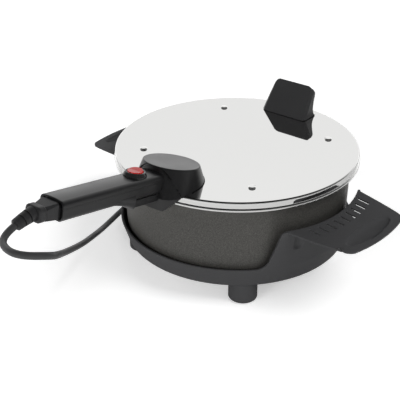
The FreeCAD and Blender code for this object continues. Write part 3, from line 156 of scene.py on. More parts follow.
# Seen by reflections, the room is white behind the pan, brightest low down, and dark on
# the side where the photographer stands.
WHITE_SIDE, DARK_UP_TO, WHITE_FROM, DARK_LEFT_OVER, WHITE_GAIN = (-0.58, 0.81, 0.0), 0.30, 0.80, 0.12, 1.65
WHITE_LOW, WHITE_HIGH = 0.95, 0.04
WHITE_BETWEEN = ((0.10, 0.90), (0.30, 0.60), (0.62, 0.58), (0.80, 0.06))
room_side = room.nodes.new("ShaderNodeVectorMath")
room_side.operation = "DOT_PRODUCT"
room_side.inputs[1].default_value = WHITE_SIDE
room_ramp = map_range(room, DARK_UP_TO, WHITE_FROM, DARK_LEFT_OVER, 1.0)
room_ramp.interpolation_type = "SMOOTHSTEP"
room_low = room.nodes.new("ShaderNodeFloatCurve")
room_curve = room_low.mapping.curves[0]
for height, strength in WHITE_BETWEEN:
    room_curve.points.new(height, strength)
room_curve.points[0].location = (0.0, WHITE_LOW)
room_curve.points[-1].location = (1.0, WHITE_HIGH)
room_low.mapping.update()
room_gain = maths(room, "MULTIPLY", WHITE_GAIN)
room_both = maths(room, "MULTIPLY")
room_pick = room.nodes.new("ShaderNodeMix")
room_pick.inputs["B"].default_value = 1.0
wire(
    room,
    (room_place.outputs["Generated"], room_side.inputs[0]),
    (room_side.outputs["Value"], room_ramp.inputs["Value"]),
    (room_height.outputs["Z"], room_low.inputs["Value"]),
    (room_ramp.outputs["Result"], room_both.inputs[0]),
    (room_low.outputs["Value"], room_gain.inputs[0]),
    (room_gain.outputs[0], room_both.inputs[1]),
    (room_path.outputs["Is Camera Ray"], room_pick.inputs["Factor"]),
    (room_both.outputs[0], room_pick.inputs["A"]),
    (room_pick.outputs["Result"], room_seen.inputs["Strength"]),
)


def new_finish(name):
    """A new material with its node tree and its shader."""
    made = bpy.data.materials.new(name)
    made.use_nodes = True
    return made, made.node_tree, made.node_tree.nodes["Principled BSDF"]


# The table is matt white paper, a little brighter for the camera alone, so that it joins
# the white room without an edge and keeps the pan's shadow.
TABLE_REACH, TABLE_LIFT = 9, 0.42
table_mesh = bpy.data.meshes.new("table_top")
table_corners = [(x * TABLE_REACH, y * TABLE_REACH, 0) for x, y in ((-1, -1), (1, -1), (1, 1), (-1, 1))]
table_mesh.from_pydata(table_corners, [], [(0, 1, 2, 3)])
table = bpy.data.objects.new("table_top", table_mesh)
bpy.context.scene.collection.objects.link(table)
table_white, tree, shader = new_finish("table_white")
shader.inputs["Base Color"].default_value = (0.93, 0.93, 0.93, 1)
shader.inputs["Roughness"].default_value = 0.9
shader.inputs["Specular IOR Level"].default_value = 0.1
shader.inputs["Emission Color"].default_value = (1, 1, 1, 1)
table_path = tree.nodes.new("ShaderNodeLightPath")
table_lift = maths(tree, "MULTIPLY", TABLE_LIFT)
wire(
    tree,
    (table_path.outputs["Is Camera Ray"], table_lift.inputs[0]),
    (table_lift.outputs[0], shader.inputs["Emission Strength"]),
)
table_mesh.materials.append(table_white)


# Stand ring
# A low ring with a flat floor, moulded in one with its wings and feet in matt black
# glass-filled plastic with a fine eroded grain. Its wall climbs at two sides to the wings.
def noise(tree, vector, scale, detail=2.0):
    """A noise pattern on the given coordinates."""
    made = tree.nodes.new("ShaderNodeTexNoise")
    made.inputs["Scale"].default_value = scale
    made.inputs["Detail"].default_value = detail
    tree.links.new(vector, made.inputs["Vector"])
    return made


def two_shades(tree, share, dark, light):
    """A colour between two shades, by a share from 0 to 1."""
    made = tree.nodes.new("ShaderNodeMix")
    made.data_type = "RGBA"
    made.inputs["A"].default_value = (*dark, 1)
    made.inputs["B"].default_value = (*light, 1)
    tree.links.new(share, made.inputs["Factor"])
    return made.outputs["Result"]


grain = bpy.data.node_groups.new("moulded_grain", "ShaderNodeTree")
for socket_name in ("Scale", "Depth"):
    grain.interface.new_socket(socket_name, in_out="INPUT", socket_type="NodeSocketFloat")
grain.interface.new_socket("Mask", in_out="OUTPUT", socket_type="NodeSocketFloat")
grain.interface.new_socket("Normal", in_out="OUTPUT", socket_type="NodeSocketVector")
grain_in = grain.nodes.new("NodeGroupInput")
grain_out = grain.nodes.new("NodeGroupOutput")
grain_place = grain.nodes.new("ShaderNodeTexCoord")
grain_fine = noise(grain, grain_place.outputs["Object"], 1.0, 3.0)
grain_wide = noise(grain, grain_place.outputs["Object"], 28.0)
grain_bump = grain.nodes.new("ShaderNodeBump")
grain_bump.inputs["Distance"].default_value = 0.0002
wire(
    grain,
    (grain_in.outputs["Scale"], grain_fine.inputs["Scale"]),
    (grain_in.outputs["Depth"], grain_bump.inputs["Strength"]),
    (grain_fine.outputs["Fac"], grain_bump.inputs["Height"]),
    (grain_wide.outputs["Fac"], grain_out.inputs["Mask"]),
    (grain_bump.outputs["Normal"], grain_out.inputs["Normal"]),
)


def moulded(name, dark, light, rough_low, rough_high, scale, depth):
    """Moulded plastic: two close shades in broad soft patches, and a fine grain."""
    made, tree, shader = new_finish(name)
    skin = tree.nodes.new("ShaderNodeGroup")
    skin.node_tree = grain
    skin.inputs["Scale"].default_value = scale
    skin.inputs["Depth"].default_value = depth
    rough = map_range(tree, 0.3, 0.7, rough_low, rough_high)
    wire(
        tree,
        (skin.outputs["Mask"], rough.inputs["Value"]),
        (two_shades(tree, skin.outputs["Mask"], dark, light), shader.inputs["Base Color"]),
        (rough.outputs["Result"], shader.inputs["Roughness"]),
        (skin.outputs["Normal"], shader.inputs["Normal"]),
    )
    return made


stand_black = moulded("stand_black", (0.052, 0.052, 0.054), (0.060, 0.060, 0.062), 0.60, 0.70, 900.0, 0.30)
stand_black.node_tree.nodes["Principled BSDF"].inputs["Specular IOR Level"].default_value = 0.15
STAND_TURN = math.radians(-4.15)
FOOT_TOP, RING_TOP, WING_TOP = 0.0268, 0.0512, 0.0999
RING_FOOT_R, RING_TOP_R, WALL_TOP_R, WALL_MEAN_R = 0.1329, 0.1407, 0.1492, 0.145
WALL, FLOOR_BORE_R, FLOOR_MID_R, FLOOR_TOP = 0.0030, 0.0950, 0.115, 0.0298
WING_ROOT_X, WING_FALL = 0.1318, 0.09
RAMP_LOW, RAMP_BEND, RAMP_HIGH, WING_FLAT, RAMP_CORNER = 0.0885, 0.0765, 0.0711, 0.0661, 0.005
RIM_ROUND, WALL_SHIFT, WALL_UNDER, RING_EDGE = 0.0009, 0.0035, 0.0004, 0.0004
RING_CORNER, RING_CORNER_UP, FLOOR_FILLET, FLOOR_STEP, WALL_ROOT = 0.0012, 0.0003, 0.0020, 0.0006, 0.001
POCKET_SIDE, POCKET_HALF_W, POCKET_DEPTH, POCKET_EDGE = 0.0535, 0.0044, 0.0024, 0.3
POCKET_LOW, POCKET_FADE, POCKET_UNDER, POCKET_REACH = 0.0785, 0.0042, 0.0045, 1.2


def wall_radius(z):
    """Outer radius of the wall: a cone up to the ring's edge, and a steeper one to the wings."""
    low = RING_FOOT_R + (RING_TOP_R - RING_FOOT_R) * (z - FOOT_TOP) / (RING_TOP - FOOT_TOP)
    high = RING_TOP_R + (WALL_TOP_R - RING_TOP_R) * (z - RING_TOP) / (WING_TOP - RING_TOP)
    return np.where(z < RING_TOP, low, high)


def wing_height(x):
    """The wings' top: z = WING_TOP - WING_FALL (|x| - WING_ROOT_X)."""
    return WING_TOP - WING_FALL * (np.abs(x) - WING_ROOT_X)


def wall_height(side, x):
    """Top edge of the wall, by its distance from the stand's middle line: low, a hollow
    quarter round, a straight climb, and a rounded corner up to the wing."""
    side = np.abs(side)
    bend_r = RAMP_LOW - RAMP_BEND
    hollow = RING_TOP + bend_r - np.sqrt(np.clip(bend_r ** 2 - (RAMP_LOW - side) ** 2, 0, None))
    share = (RAMP_BEND - side) / (RAMP_BEND - RAMP_HIGH)
    climb = RING_TOP + bend_r + (WING_TOP - RAMP_CORNER - RING_TOP - bend_r) * share
    past_flat = np.clip(RAMP_CORNER ** 2 - (side - WING_FLAT) ** 2, 0, None)
    round_top = WING_TOP - RAMP_CORNER + np.sqrt(past_flat)
    top = np.where(side > RAMP_BEND, hollow, np.where(side > RAMP_HIGH, climb, round_top))
    top = np.where(side > RAMP_LOW, RING_TOP, np.where(side < WING_FLAT, WING_TOP, top))
    return np.minimum(top, wing_height(x) - WALL_UNDER * (side < WING_FLAT))


def grid_faces(rows, columns, round_rows=False, round_columns=False):
    """Four-sided faces of a grid of points, closed round in either direction or in both."""
    row_count, column_count = rows - (not round_rows), columns - (not round_columns)
    i, j = np.meshgrid(np.arange(row_count), np.arange(column_count), indexing="ij")
    k, m = (i + 1) % rows, (j + 1) % columns
    corners = [i * columns + j, i * columns + m, k * columns + m, k * columns + j]
    return np.stack(corners, axis=-1).reshape(-1, 4)


def new_piece(name, points, faces, material, sharp, caps=()):
    """A mesh object of all the points and faces, smooth but for edges over the sharp angle."""
    data = bpy.data.meshes.new(name)
    data.from_pydata(np.asarray(points).reshape(-1, 3).tolist(), [], np.asarray(faces).tolist() + list(caps))
    data.validate()
    data.shade_smooth()
    data.set_sharp_from_angle(angle=math.radians(sharp))
    data.materials.append(material)
    made = bpy.data.objects.new(name, data)
    bpy.context.scene.collection.objects.link(made)
    return made


def turned(points, angle):
    """Points turned round Z: x' = x cos a - y sin a, y' = x sin a + y cos a."""
    points = np.array(points, float)
    x, y = points[..., 0].copy(), points[..., 1].copy()
    points[..., 0] = x * math.cos(angle) - y * math.sin(angle)
    points[..., 1] = x * math.sin(angle) + y * math.cos(angle)
    return points


# Wall and floor are one closed section carried round, r and z for each angle, and its top
# edge follows wall_height. The angles lie closer together where the ramps climb.
RAMP_MARGIN, SEAM_STEP = 0.03, 1e-4
ramp_at = np.arcsin(np.array([RAMP_LOW, WING_FLAT]) / WALL_MEAN_R)
quarter = np.concatenate([
    np.linspace(0, ramp_at[1] - RAMP_MARGIN, 30, endpoint=False),
    np.linspace(ramp_at[1] - RAMP_MARGIN, ramp_at[0] + RAMP_MARGIN, 90, endpoint=False),
    np.linspace(ramp_at[0] + RAMP_MARGIN, math.pi / 2, 36, endpoint=False),
])
round_at = np.concatenate([
    quarter, math.pi - quarter[::-1] - SEAM_STEP,
    math.pi + quarter, 2 * math.pi - quarter[::-1] - SEAM_STEP,
])
wall_shift = WALL_SHIFT * np.sign(np.cos(round_at))
top = np.full(round_at.shape, RING_TOP)
for _ in range(6):
    mid_r = wall_radius(top) - WALL / 2
    top = wall_height(mid_r * np.sin(round_at) + wall_shift, mid_r * np.cos(round_at))
rise = np.concatenate([[0.004, 0.02], np.linspace(0.05, 0.97, 44), [0.99, 1.0]])[:, None]
outer_z = FOOT_TOP + WALL_ROOT + (top - RIM_ROUND - FOOT_TOP - WALL_ROOT) * rise
outer_r = wall_radius(outer_z)

# A shallow pocket stands in the wall under each end of a wing, with a round lower end and
# soft edges.
across = np.abs(np.abs(outer_r * np.sin(round_at)) - POCKET_SIDE) / POCKET_HALF_W
down = np.clip((POCKET_LOW - outer_z) / POCKET_FADE, 0, None)
pocket = np.clip(POCKET_REACH - np.hypot(across, down), 0, POCKET_EDGE) / POCKET_EDGE
outer_r = outer_r - POCKET_DEPTH * pocket * (outer_z < wing_height(WALL_MEAN_R) - POCKET_UNDER)

fall = np.linspace(0, 1, 24)[:, None]
inner_z = top - RIM_ROUND - (top - RIM_ROUND - FLOOR_TOP - FLOOR_FILLET) * fall
inner_r = wall_radius(inner_z) - WALL
rim_turn = np.radians(np.linspace(0, 180, 9))[1:-1, None]
rim_mid = wall_radius(top - RIM_ROUND) - WALL / 2
rim_r = rim_mid + np.sign(np.cos(rim_turn)) * (WALL / 2 - RIM_ROUND) + RIM_ROUND * np.cos(rim_turn)
rim_z = top - RIM_ROUND + RIM_ROUND * np.sin(rim_turn)
floor_edge = wall_radius(np.float64(FLOOR_TOP)) - WALL
underside = np.array([
    (FLOOR_BORE_R, FOOT_TOP + RING_EDGE), (FLOOR_BORE_R + RING_EDGE, FOOT_TOP), (FLOOR_MID_R, FOOT_TOP),
    (RING_FOOT_R - RING_CORNER, FOOT_TOP), (RING_FOOT_R - RING_EDGE, FOOT_TOP + RING_CORNER_UP),
])[:, :, None] * np.ones_like(round_at)
floor_face = np.array([
    (floor_edge - FLOOR_STEP, FLOOR_TOP + FLOOR_STEP), (floor_edge - FLOOR_FILLET, FLOOR_TOP),
    (FLOOR_MID_R, FLOOR_TOP), (FLOOR_BORE_R + RING_EDGE, FLOOR_TOP), (FLOOR_BORE_R, FLOOR_TOP - RING_EDGE),
])[:, :, None] * np.ones_like(round_at)
section_r = np.concatenate([underside[:, 0], outer_r, rim_r, inner_r, floor_face[:, 0]])
section_z = np.concatenate([underside[:, 1], outer_z, rim_z, inner_z, floor_face[:, 1]])
wall_points = np.stack([section_r * np.cos(round_at), section_r * np.sin(round_at), section_z], axis=-1)
wall_faces = grid_faces(*section_r.shape, round_rows=True, round_columns=True)
stand_wall = new_piece("stand_wall", turned(wall_points, STAND_TURN), wall_faces, stand_black, 50.0)
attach(stand_wall, "stand")
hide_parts("stand_ring")

# Stand wings
# Two thin plates to carry the stand by, part of the same moulding: nine slots let the heat
# through next to the wall, and a hollow near the outer edge takes the thumb.
WING_IN_R, WING_OUT_R, WING_CORNER, WING_THICK, WING_ROUND = 0.1461, 0.2066, 0.0100, 0.0020, 0.0004
FAR_HALF_IN, FAR_HALF_OUT, NEAR_HALF_IN, NEAR_HALF_OUT = 0.0625, 0.0560, 0.0690, 0.0528
SLOT_IN_R, SLOT_OUT_R, SLOT_PITCH, SLOT_HALF, SLOTS = 0.1508, 0.1646, 0.0117, 0.0018, 9
HOLLOW_X, HOLLOW_HALF_W, HOLLOW_HALF_L, HOLLOW_BOW = 0.1889, 0.0103, 0.0400, 0.0005
HOLLOW_DEPTH, HOLLOW_FLAT, HOLLOW_OUT_R = 0.0050, 0.10, 0.1990

# A plate is a grid of arcs round the stand's middle and lines across them, with
# x = sqrt(r^2 - y^2) and z = wing_height(x) less the hollow's depth.
slot_y = SLOT_PITCH * (np.arange(SLOTS) - (SLOTS - 1) / 2)
lines_y = np.unique(np.round(np.concatenate([
    (slot_y[:, None] + SLOT_HALF * np.array([-1, 0, 1])).ravel(),
    (slot_y[:-1, None] + SLOT_PITCH * np.linspace(0.2, 0.8, 9)).ravel(),
]), 6))
last_y = lines_y[-1]
edge_share = np.linspace(0, 1, 6)[1:]
lines_r = np.concatenate([
    np.linspace(WING_IN_R, SLOT_IN_R, 6, endpoint=False),
    np.linspace(SLOT_IN_R, SLOT_OUT_R, 14, endpoint=False),
    np.linspace(SLOT_OUT_R, HOLLOW_OUT_R, 52, endpoint=False),
    np.linspace(HOLLOW_OUT_R, WING_OUT_R, 7),
])
share_out = ((lines_r - WING_IN_R) / (WING_OUT_R - WING_IN_R))[:, None]
far_half = FAR_HALF_IN + (FAR_HALF_OUT - FAR_HALF_IN) * share_out
near_half = NEAR_HALF_IN + (NEAR_HALF_OUT - NEAR_HALF_IN) * share_out
near_flank = last_y + (near_half - last_y) * edge_share
far_flank = last_y + (far_half - last_y) * edge_share
middle = np.repeat(lines_y[None, :], len(lines_r), axis=0)
plate_y = np.concatenate([-near_flank[:, ::-1], middle, far_flank], axis=1)
from_edge = np.clip(np.minimum(far_half - plate_y, near_half + plate_y), 0, WING_CORNER)
corner_in = WING_CORNER - np.sqrt(np.clip(WING_CORNER ** 2 - (WING_CORNER - from_edge) ** 2, 0, None))
outward = np.clip((lines_r[:, None] - SLOT_OUT_R) / (WING_OUT_R - SLOT_OUT_R), 0, 1)
plate_r = lines_r[:, None] - corner_in * outward ** 2
plate_x = np.sqrt(plate_r ** 2 - plate_y ** 2)
hollow_x = (plate_x - HOLLOW_X + HOLLOW_BOW * (plate_y / HOLLOW_HALF_L) ** 2) / HOLLOW_HALF_W
hollow_out = np.hypot(hollow_x, plate_y / HOLLOW_HALF_L)
hollow_in = np.clip((1 - hollow_out) / (1 - HOLLOW_FLAT), 0, 1)
plate_z = wing_height(plate_x) - HOLLOW_DEPTH * np.sqrt(1 - (1 - hollow_in) ** 2)
plate = np.stack([plate_x, plate_y, plate_z], axis=-1)

# Faces in the slots are left out, and the other wing is the same plate turned half round.
plate_faces = grid_faces(*plate_r.shape)
face_mid = plate.reshape(-1, 3)[plate_faces].mean(axis=1)
face_r = np.hypot(face_mid[:, 0], face_mid[:, 1])
at_slot = np.abs(face_mid[:, 1:2] - slot_y).min(axis=1) < SLOT_HALF
in_slot = at_slot & (face_r > SLOT_IN_R) & (face_r < SLOT_OUT_R)
plate_faces = plate_faces[~in_slot][:, ::-1]
wing_points = np.stack([turned(plate, STAND_TURN), turned(plate, STAND_TURN + math.pi)])
wing_faces = np.concatenate([plate_faces, plate_faces + plate.size // 3])
stand_wings = new_piece("stand_wings", wing_points, wing_faces, stand_black, 50.0)
wing_depth = stand_wings.modifiers.new("plate_thickness", "SOLIDIFY")
wing_depth.thickness = WING_THICK
wing_depth.offset = -1.0
wing_edge = stand_wings.modifiers.new("rounded_edges", "BEVEL")
wing_edge.width = WING_ROUND
wing_edge.segments = 2
wing_edge.limit_method = "ANGLE"
wing_edge.angle_limit = math.radians(50)
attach(stand_wings, "stand")


# Stand feet
# Four hollow round feet hang under the ring, with a rounded lower edge. A rubber pad is
# pressed into each from below, against a thin web.
def spun(profile, sides):
    """A profile of (radius, height) points turned round Z: x = r cos a, y = r sin a, z = h."""
    line = np.asarray(profile, float)
    at = 2 * np.pi * np.arange(sides) / sides
    return np.stack([
        line[:, :1] * np.cos(at), line[:, :1] * np.sin(at), np.repeat(line[:, 1:], sides, axis=1)
    ], axis=-1)


def bend(centre, radius, first, last, count):
    """Profile points on an arc, from one angle to another in degrees, 0 outwards and 90 up."""
    at = np.radians(np.linspace(first, last, count))
    return list(zip(centre[0] + radius * np.cos(at), centre[1] + radius * np.sin(at)))


def round_piece(name, grids, material, sharp):
    """One piece of one or more grids of points, each closed round its columns, with a face
    over its first row and another over its last."""
    rows, columns = grids.shape[-3:-1]
    starts = np.arange(0, grids.size // 3, rows * columns)
    faces = grid_faces(rows, columns, round_columns=True) + starts[:, None, None]
    first_cap = np.arange(columns)[::-1]
    last_cap = (rows - 1) * columns + np.arange(columns)
    caps = [(cap + start).tolist() for start in starts for cap in (first_cap, last_cap)]
    return new_piece(name, grids, faces.reshape(-1, 4), material, sharp, caps)


def dress(node, material):
    """The finish of a CAD node's mesh is changed, and nothing else of it."""
    data = nodes[node].data
    data.materials.clear()
    data.materials.append(material)


POLE_R = 0.0001
FOOT_R, FOOT_EDGE, FOOT_BORE, FOOT_CIRCLE, FOOT_SIDES = 0.0167, 0.0025, 0.0134, 0.1150, 72
PAD_PROUD, PAD_SQUEEZE, WEB_LOW, WEB_HIGH, FOOT_SINK = 0.0008, 0.0006, 0.0050, 0.0072, 0.0005
PAD_EDGE, FOOT_STRAIGHT = 0.0002, 0.001
foot_line = [(POLE_R, WEB_LOW), (FOOT_BORE - PAD_SQUEEZE, WEB_LOW)]
foot_line += [(FOOT_BORE - PAD_SQUEEZE, PAD_PROUD + PAD_EDGE), (FOOT_BORE, PAD_PROUD)]
foot_line += bend((FOOT_R - FOOT_EDGE, PAD_PROUD + FOOT_EDGE), FOOT_EDGE, -90, 0, 9)
foot_line += [(FOOT_R, PAD_PROUD + FOOT_EDGE + FOOT_STRAIGHT), (FOOT_R, FOOT_TOP - FOOT_STRAIGHT)]
foot_line += [(FOOT_R, FOOT_TOP + FOOT_SINK), (FOOT_BORE, FOOT_TOP + FOOT_SINK)]
foot_line += [(FOOT_BORE, WEB_HIGH), (POLE_R, WEB_HIGH)]
foot_at = STAND_TURN + np.radians([45, 135, 225, 315])
foot_places = FOOT_CIRCLE * np.stack([np.cos(foot_at), np.sin(foot_at), 0 * foot_at], axis=1)
feet = spun(foot_line, FOOT_SIDES) + foot_places[:, None, None]
stand_feet = round_piece("stand_feet", feet, stand_black, 50.0)
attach(stand_feet, "stand")
foot_rubber = moulded("foot_rubber", (0.018, 0.018, 0.018), (0.030, 0.030, 0.030), 0.80, 0.90, 500.0, 0.6)
dress("foot_pads", foot_rubber)

# Stand ribs
# Eight low ribs with round tops, moulded on the ring's floor, run outwards across it and
# carry the pan clear of it.
RIB_IN, RIB_OUT, RIB_HALF_W, RIB_RISE, RIB_SINK, RIB_ROOT = 0.0980, 0.1275, 0.0015, 0.0018, 0.0006, 0.0002
RIBS, RIB_ROWS, RIB_SIDES, RIB_END, RIB_END_RISE = 8, 12, 16, 0.15, 4
rib_along = np.linspace(RIB_IN, RIB_OUT, RIB_ROWS)[:, None]
rib_turn = np.radians(np.linspace(0, 360, RIB_SIDES, endpoint=False))
rib_side = RIB_HALF_W * np.cos(rib_turn)
rib_end = np.sin(np.linspace(RIB_END, math.pi - RIB_END, RIB_ROWS))[:, None]
rib_end = np.clip(rib_end * RIB_END_RISE, 0, 1)
rib_half = np.where(np.sin(rib_turn) > 0, RIB_RISE * rib_end, RIB_SINK)
rib_up = FLOOR_TOP - RIB_ROOT + rib_half * np.sin(rib_turn)
rib = np.stack([rib_along + 0 * rib_side, 0 * rib_along + rib_side, rib_up], axis=-1)
ribs = np.stack([turned(rib, STAND_TURN + math.radians(360 * (n + 0.5) / RIBS)) for n in range(RIBS)])
stand_ribs = round_piece("stand_ribs", ribs, stand_black, 40.0)
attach(stand_ribs, "stand")

# Pan
# Pressed aluminium, sprayed inside and out with a speckled dark non-stick coating. It
# stands on the ribs and lifts out.
pan_coat, tree, shader = new_finish("pan_coat")
pan_place = tree.nodes.new("ShaderNodeTexCoord")
pan_spots = noise(tree, pan_place.outputs["Object"], 1250.0, 2.0)
pan_share = map_range(tree, 0.35, 0.68, 0.0, 1.0)
pan_bump = tree.nodes.new("ShaderNodeBump")
pan_bump.inputs["Strength"].default_value = 0.25
pan_bump.inputs["Distance"].default_value = 0.0002
shader.inputs["Metallic"].default_value = 0.25
shader.inputs["Roughness"].default_value = 0.48
pan_shade = two_shades(tree, pan_share.outputs["Result"], (0.040, 0.039, 0.036), (0.105, 0.102, 0.094))
wire(
    tree,
    (pan_spots.outputs["Fac"], pan_share.inputs["Value"]),
    (pan_spots.outputs["Fac"], pan_bump.inputs["Height"]),
    (pan_shade, shader.inputs["Base Color"]),
    (pan_bump.outputs["Normal"], shader.inputs["Normal"]),
)
dress("pan_bowl", pan_coat)


# Lid cover
# Pressed from thin stainless sheet and mirror polished, with a narrow shoulder and a short
# skirt whose edge is rolled out to a bead.
def metal(name, colour, rough_low, rough_high, scale):
    """Bare metal: its roughness and a faint bump follow a noise."""
    made, tree, shader = new_finish(name)
    place = tree.nodes.new("ShaderNodeTexCoord")
    marks = noise(tree, place.outputs["Object"], scale, 4.0)
    rough = map_range(tree, 0.0, 1.0, rough_low, rough_high)
    bump = tree.nodes.new("ShaderNodeBump")
    bump.inputs["Strength"].default_value = 0.04
    bump.inputs["Distance"].default_value = 0.0001
    wire(
        tree,
        (marks.outputs["Fac"], rough.inputs["Value"]),
        (marks.outputs["Fac"], bump.inputs["Height"]),
        (rough.outputs["Result"], shader.inputs["Roughness"]),
        (bump.outputs["Normal"], shader.inputs["Normal"]),
    )
    shader.inputs["Base Color"].default_value = (*colour, 1)
    shader.inputs["Metallic"].default_value = 1.0
    return made


LID_TOP, SKIRT_R, SHOULDER, COVER_THICK, LID_SIDES = 0.1384, 0.1438, 0.0020, 0.0010, 320
BEAD_R, BEAD_MID, BEAD_FROM, BEAD_TO = 0.0023, (0.1427, 0.1287), -93, 66
CREASE_IN, CREASE_Z, STRIP_IN, STRIP_LOW, STRIP_HIGH = 0.00025, 0.1309, 0.00022, 0.1314, 0.1358
SKIRT_HOLD, SHOULDER_HOLD, TOP_HOLD, TOP_MIDDLE, TOP_RINGS = 0.0004, 0.0001, 0.0003, 0.01, 30
shoulder_mid = (SKIRT_R - SHOULDER, LID_TOP - SHOULDER)
skirt_in = SKIRT_R - COVER_THICK
lid_profile = [(POLE_R, LID_TOP - COVER_THICK)]
lid_profile += bend(shoulder_mid, SHOULDER - COVER_THICK, 90, 0, 4)
lid_profile += [(skirt_in, shoulder_mid[1] - SKIRT_HOLD), (skirt_in, BEAD_MID[1] - SKIRT_HOLD)]
lid_profile += bend(BEAD_MID, BEAD_R, BEAD_FROM, BEAD_TO, 22)
lid_profile += [(SKIRT_R - CREASE_IN, CREASE_Z), (SKIRT_R - STRIP_IN, STRIP_LOW)]
lid_profile += [(SKIRT_R, STRIP_HIGH), (SKIRT_R, shoulder_mid[1] - SHOULDER_HOLD)]
lid_profile += bend(shoulder_mid, SHOULDER, 0, 90, 10)
lid_profile += [(r, LID_TOP) for r in np.linspace(shoulder_mid[0] - TOP_HOLD, TOP_MIDDLE, TOP_RINGS)]
lid_profile += [(POLE_R, LID_TOP)]
lid_steel = metal("lid_steel", (0.80, 0.80, 0.79), 0.015, 0.035, 40.0)
lid_skin = round_piece("lid_skin", spun(lid_profile, LID_SIDES), lid_steel, 50.0)
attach(lid_skin, "lid")
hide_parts("lid_cover")

# Lid studs
# Four polished studs hold the lid's layers together: low heads with a flat top and rounded
# edges outside, and shanks that take a spacer and a nut each inside.
STUD_PLACE, STUD_SHANK_R, STUD_HEAD_R, STUD_FOOT, STUD_SIDES = 0.07797, 0.0020, 0.0043, 0.1262, 48
HEAD_H, HEAD_ROUND, HEAD_BEND, HEAD_SIDE, HEAD_SINK = 0.0020, 0.0013, 0.0005, 0.0004, 0.0001
stud_line = [(POLE_R, STUD_FOOT), (STUD_SHANK_R, STUD_FOOT), (STUD_SHANK_R, LID_TOP - HEAD_SINK)]
stud_line += [(STUD_HEAD_R - HEAD_SINK, LID_TOP - HEAD_SINK), (STUD_HEAD_R, LID_TOP + HEAD_SIDE)]
stud_line += bend((STUD_HEAD_R - HEAD_ROUND, LID_TOP + HEAD_BEND), HEAD_ROUND, 5, 85, 9)
stud_line += [(POLE_R, LID_TOP + HEAD_H)]
stud_places = STUD_PLACE * np.array([[1, 1, 0], [-1, 1, 0], [-1, -1, 0], [1, -1, 0]])
studs = spun(stud_line, STUD_SIDES) + stud_places[:, None, None]
stud_steel = metal("stud_steel", (0.82, 0.82, 0.81), 0.05, 0.10, 300.0)
stud_heads = round_piece("stud_heads", studs, stud_steel, 40.0)
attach(stud_heads, "lid")
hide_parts("lid_studs")

# Lid inside
# A reflector dish of plain aluminium, a ceramic fibre pad above it, and the heat-tinted
# element in zinc-plated clamps below. Spacers and nuts on the studs carry them.
zinc = metal("zinc_plate", (0.62, 0.63, 0.64), 0.20, 0.34, 300.0)
dress("reflector", metal("reflector_steel", (0.72, 0.72, 0.70), 0.18, 0.30, 90.0))
dress("insulation_pad", moulded(
    "insulation_felt", (0.62, 0.60, 0.54), (0.75, 0.73, 0.68), 0.9, 1.0, 700.0, 1.0
))
dress("heating_element", metal("element_sheath", (0.20, 0.19, 0.17), 0.35, 0.55, 200.0))
for node in ("element_clamps", "stud_spacers", "stud_nuts"):
    dress(node, zinc)

# Hub
# Two satin black phenolic mouldings on the lid's edge: a round cap, and a collar that takes
# the handle. They meet at a seam that leans back. A thin black tube under the cap's foot is
# painted shade, the dark line where the cap sits on the lid.
handle_black = moulded(
    "handle_black", (0.007, 0.007, 0.0075), (0.010, 0.010, 0.0105), 0.28, 0.34, 1400.0, 0.14
)
dress("hub_cap", handle_black)
dress("hub_collar", handle_black)
# Near black: for the seam, a dark joint, and for the painted shade under the cap's foot.
line_black = moulded("line_black", (0.0015, 0.0015, 0.0015), (0.0020, 0.0020, 0.0020), 0.8, 0.9, 900.0, 0.1)
HUB_Y, SEAM_BACK, SEAM_LEAN = -0.1177, 0.0252, math.tan(math.radians(10.5))
CAP_SIDE_R, CAP_SIDE_LEAN, CAP_SIDE_BAND = 0.0345, 0.77, 0.0030
FOOT_BAND, FOOT_FROM, FOOT_TO, SHADE_LINE_FROM, SHADE_LINE_TO = 0.00002, -40, 220, -34, 214
SHADE_LINE_R, SHADE_LINE_IN, SHADE_LINE_UP, SHADE_LINE_ROWS, SHADE_LINE_SIDES = 0.00060, 0.0002, 0.6, 131, 10
SEAM_R, SEAM_OUT, SEAM_BAND, SEAM_ROWS, SEAM_SIDES = 0.0007, 0.0007, 0.0004, 40, 8
cap_node = nodes["hub_cap"]
cap_points = np.array([cap_node.matrix_world @ corner.co for corner in cap_node.data.vertices])
cap_up = cap_points[:, 2] - LID_TOP

# A black tube along the cap's own foot is painted shade, the dark line where the cap sits on
# the lid. Its line follows the foot's radius by angle.
foot_points = cap_points[np.abs(cap_up) < FOOT_BAND]
foot_r = np.hypot(foot_points[:, 0], foot_points[:, 1] - HUB_Y)
foot_angle = np.arctan2(foot_points[:, 1] - HUB_Y, foot_points[:, 0])
foot_angle = np.where(foot_angle < -math.pi / 2, foot_angle + 2 * math.pi, foot_angle)
behind_seam = (foot_angle > math.radians(FOOT_FROM)) & (foot_angle < math.radians(FOOT_TO))
outer_foot = (foot_r > CAP_SIDE_R) & behind_seam
foot_r, foot_angle = foot_r[outer_foot], foot_angle[outer_foot]
foot_order = np.argsort(foot_angle)
shade_line_at = np.radians(np.linspace(SHADE_LINE_FROM, SHADE_LINE_TO, SHADE_LINE_ROWS))
shade_line_r = np.interp(shade_line_at, foot_angle[foot_order], foot_r[foot_order]) - SHADE_LINE_IN
shade_line_out = np.stack([np.cos(shade_line_at), np.sin(shade_line_at), 0 * shade_line_at], axis=-1)
shade_line_path = shade_line_r[:, None] * shade_line_out + (0, HUB_Y, LID_TOP)
shade_line_turn = np.radians(np.linspace(360, 0, SHADE_LINE_SIDES, endpoint=False))[:, None]
shade_line_ring = shade_line_out[:, None] * np.cos(shade_line_turn) + np.array([0, 0, 1.0]) * (np.sin(shade_line_turn) + SHADE_LINE_UP)
hub_shade_line = round_piece("hub_shade_line", shade_line_path[:, None] + SHADE_LINE_R * shade_line_ring, line_black, 60.0)
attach(hub_shade_line, "lid")

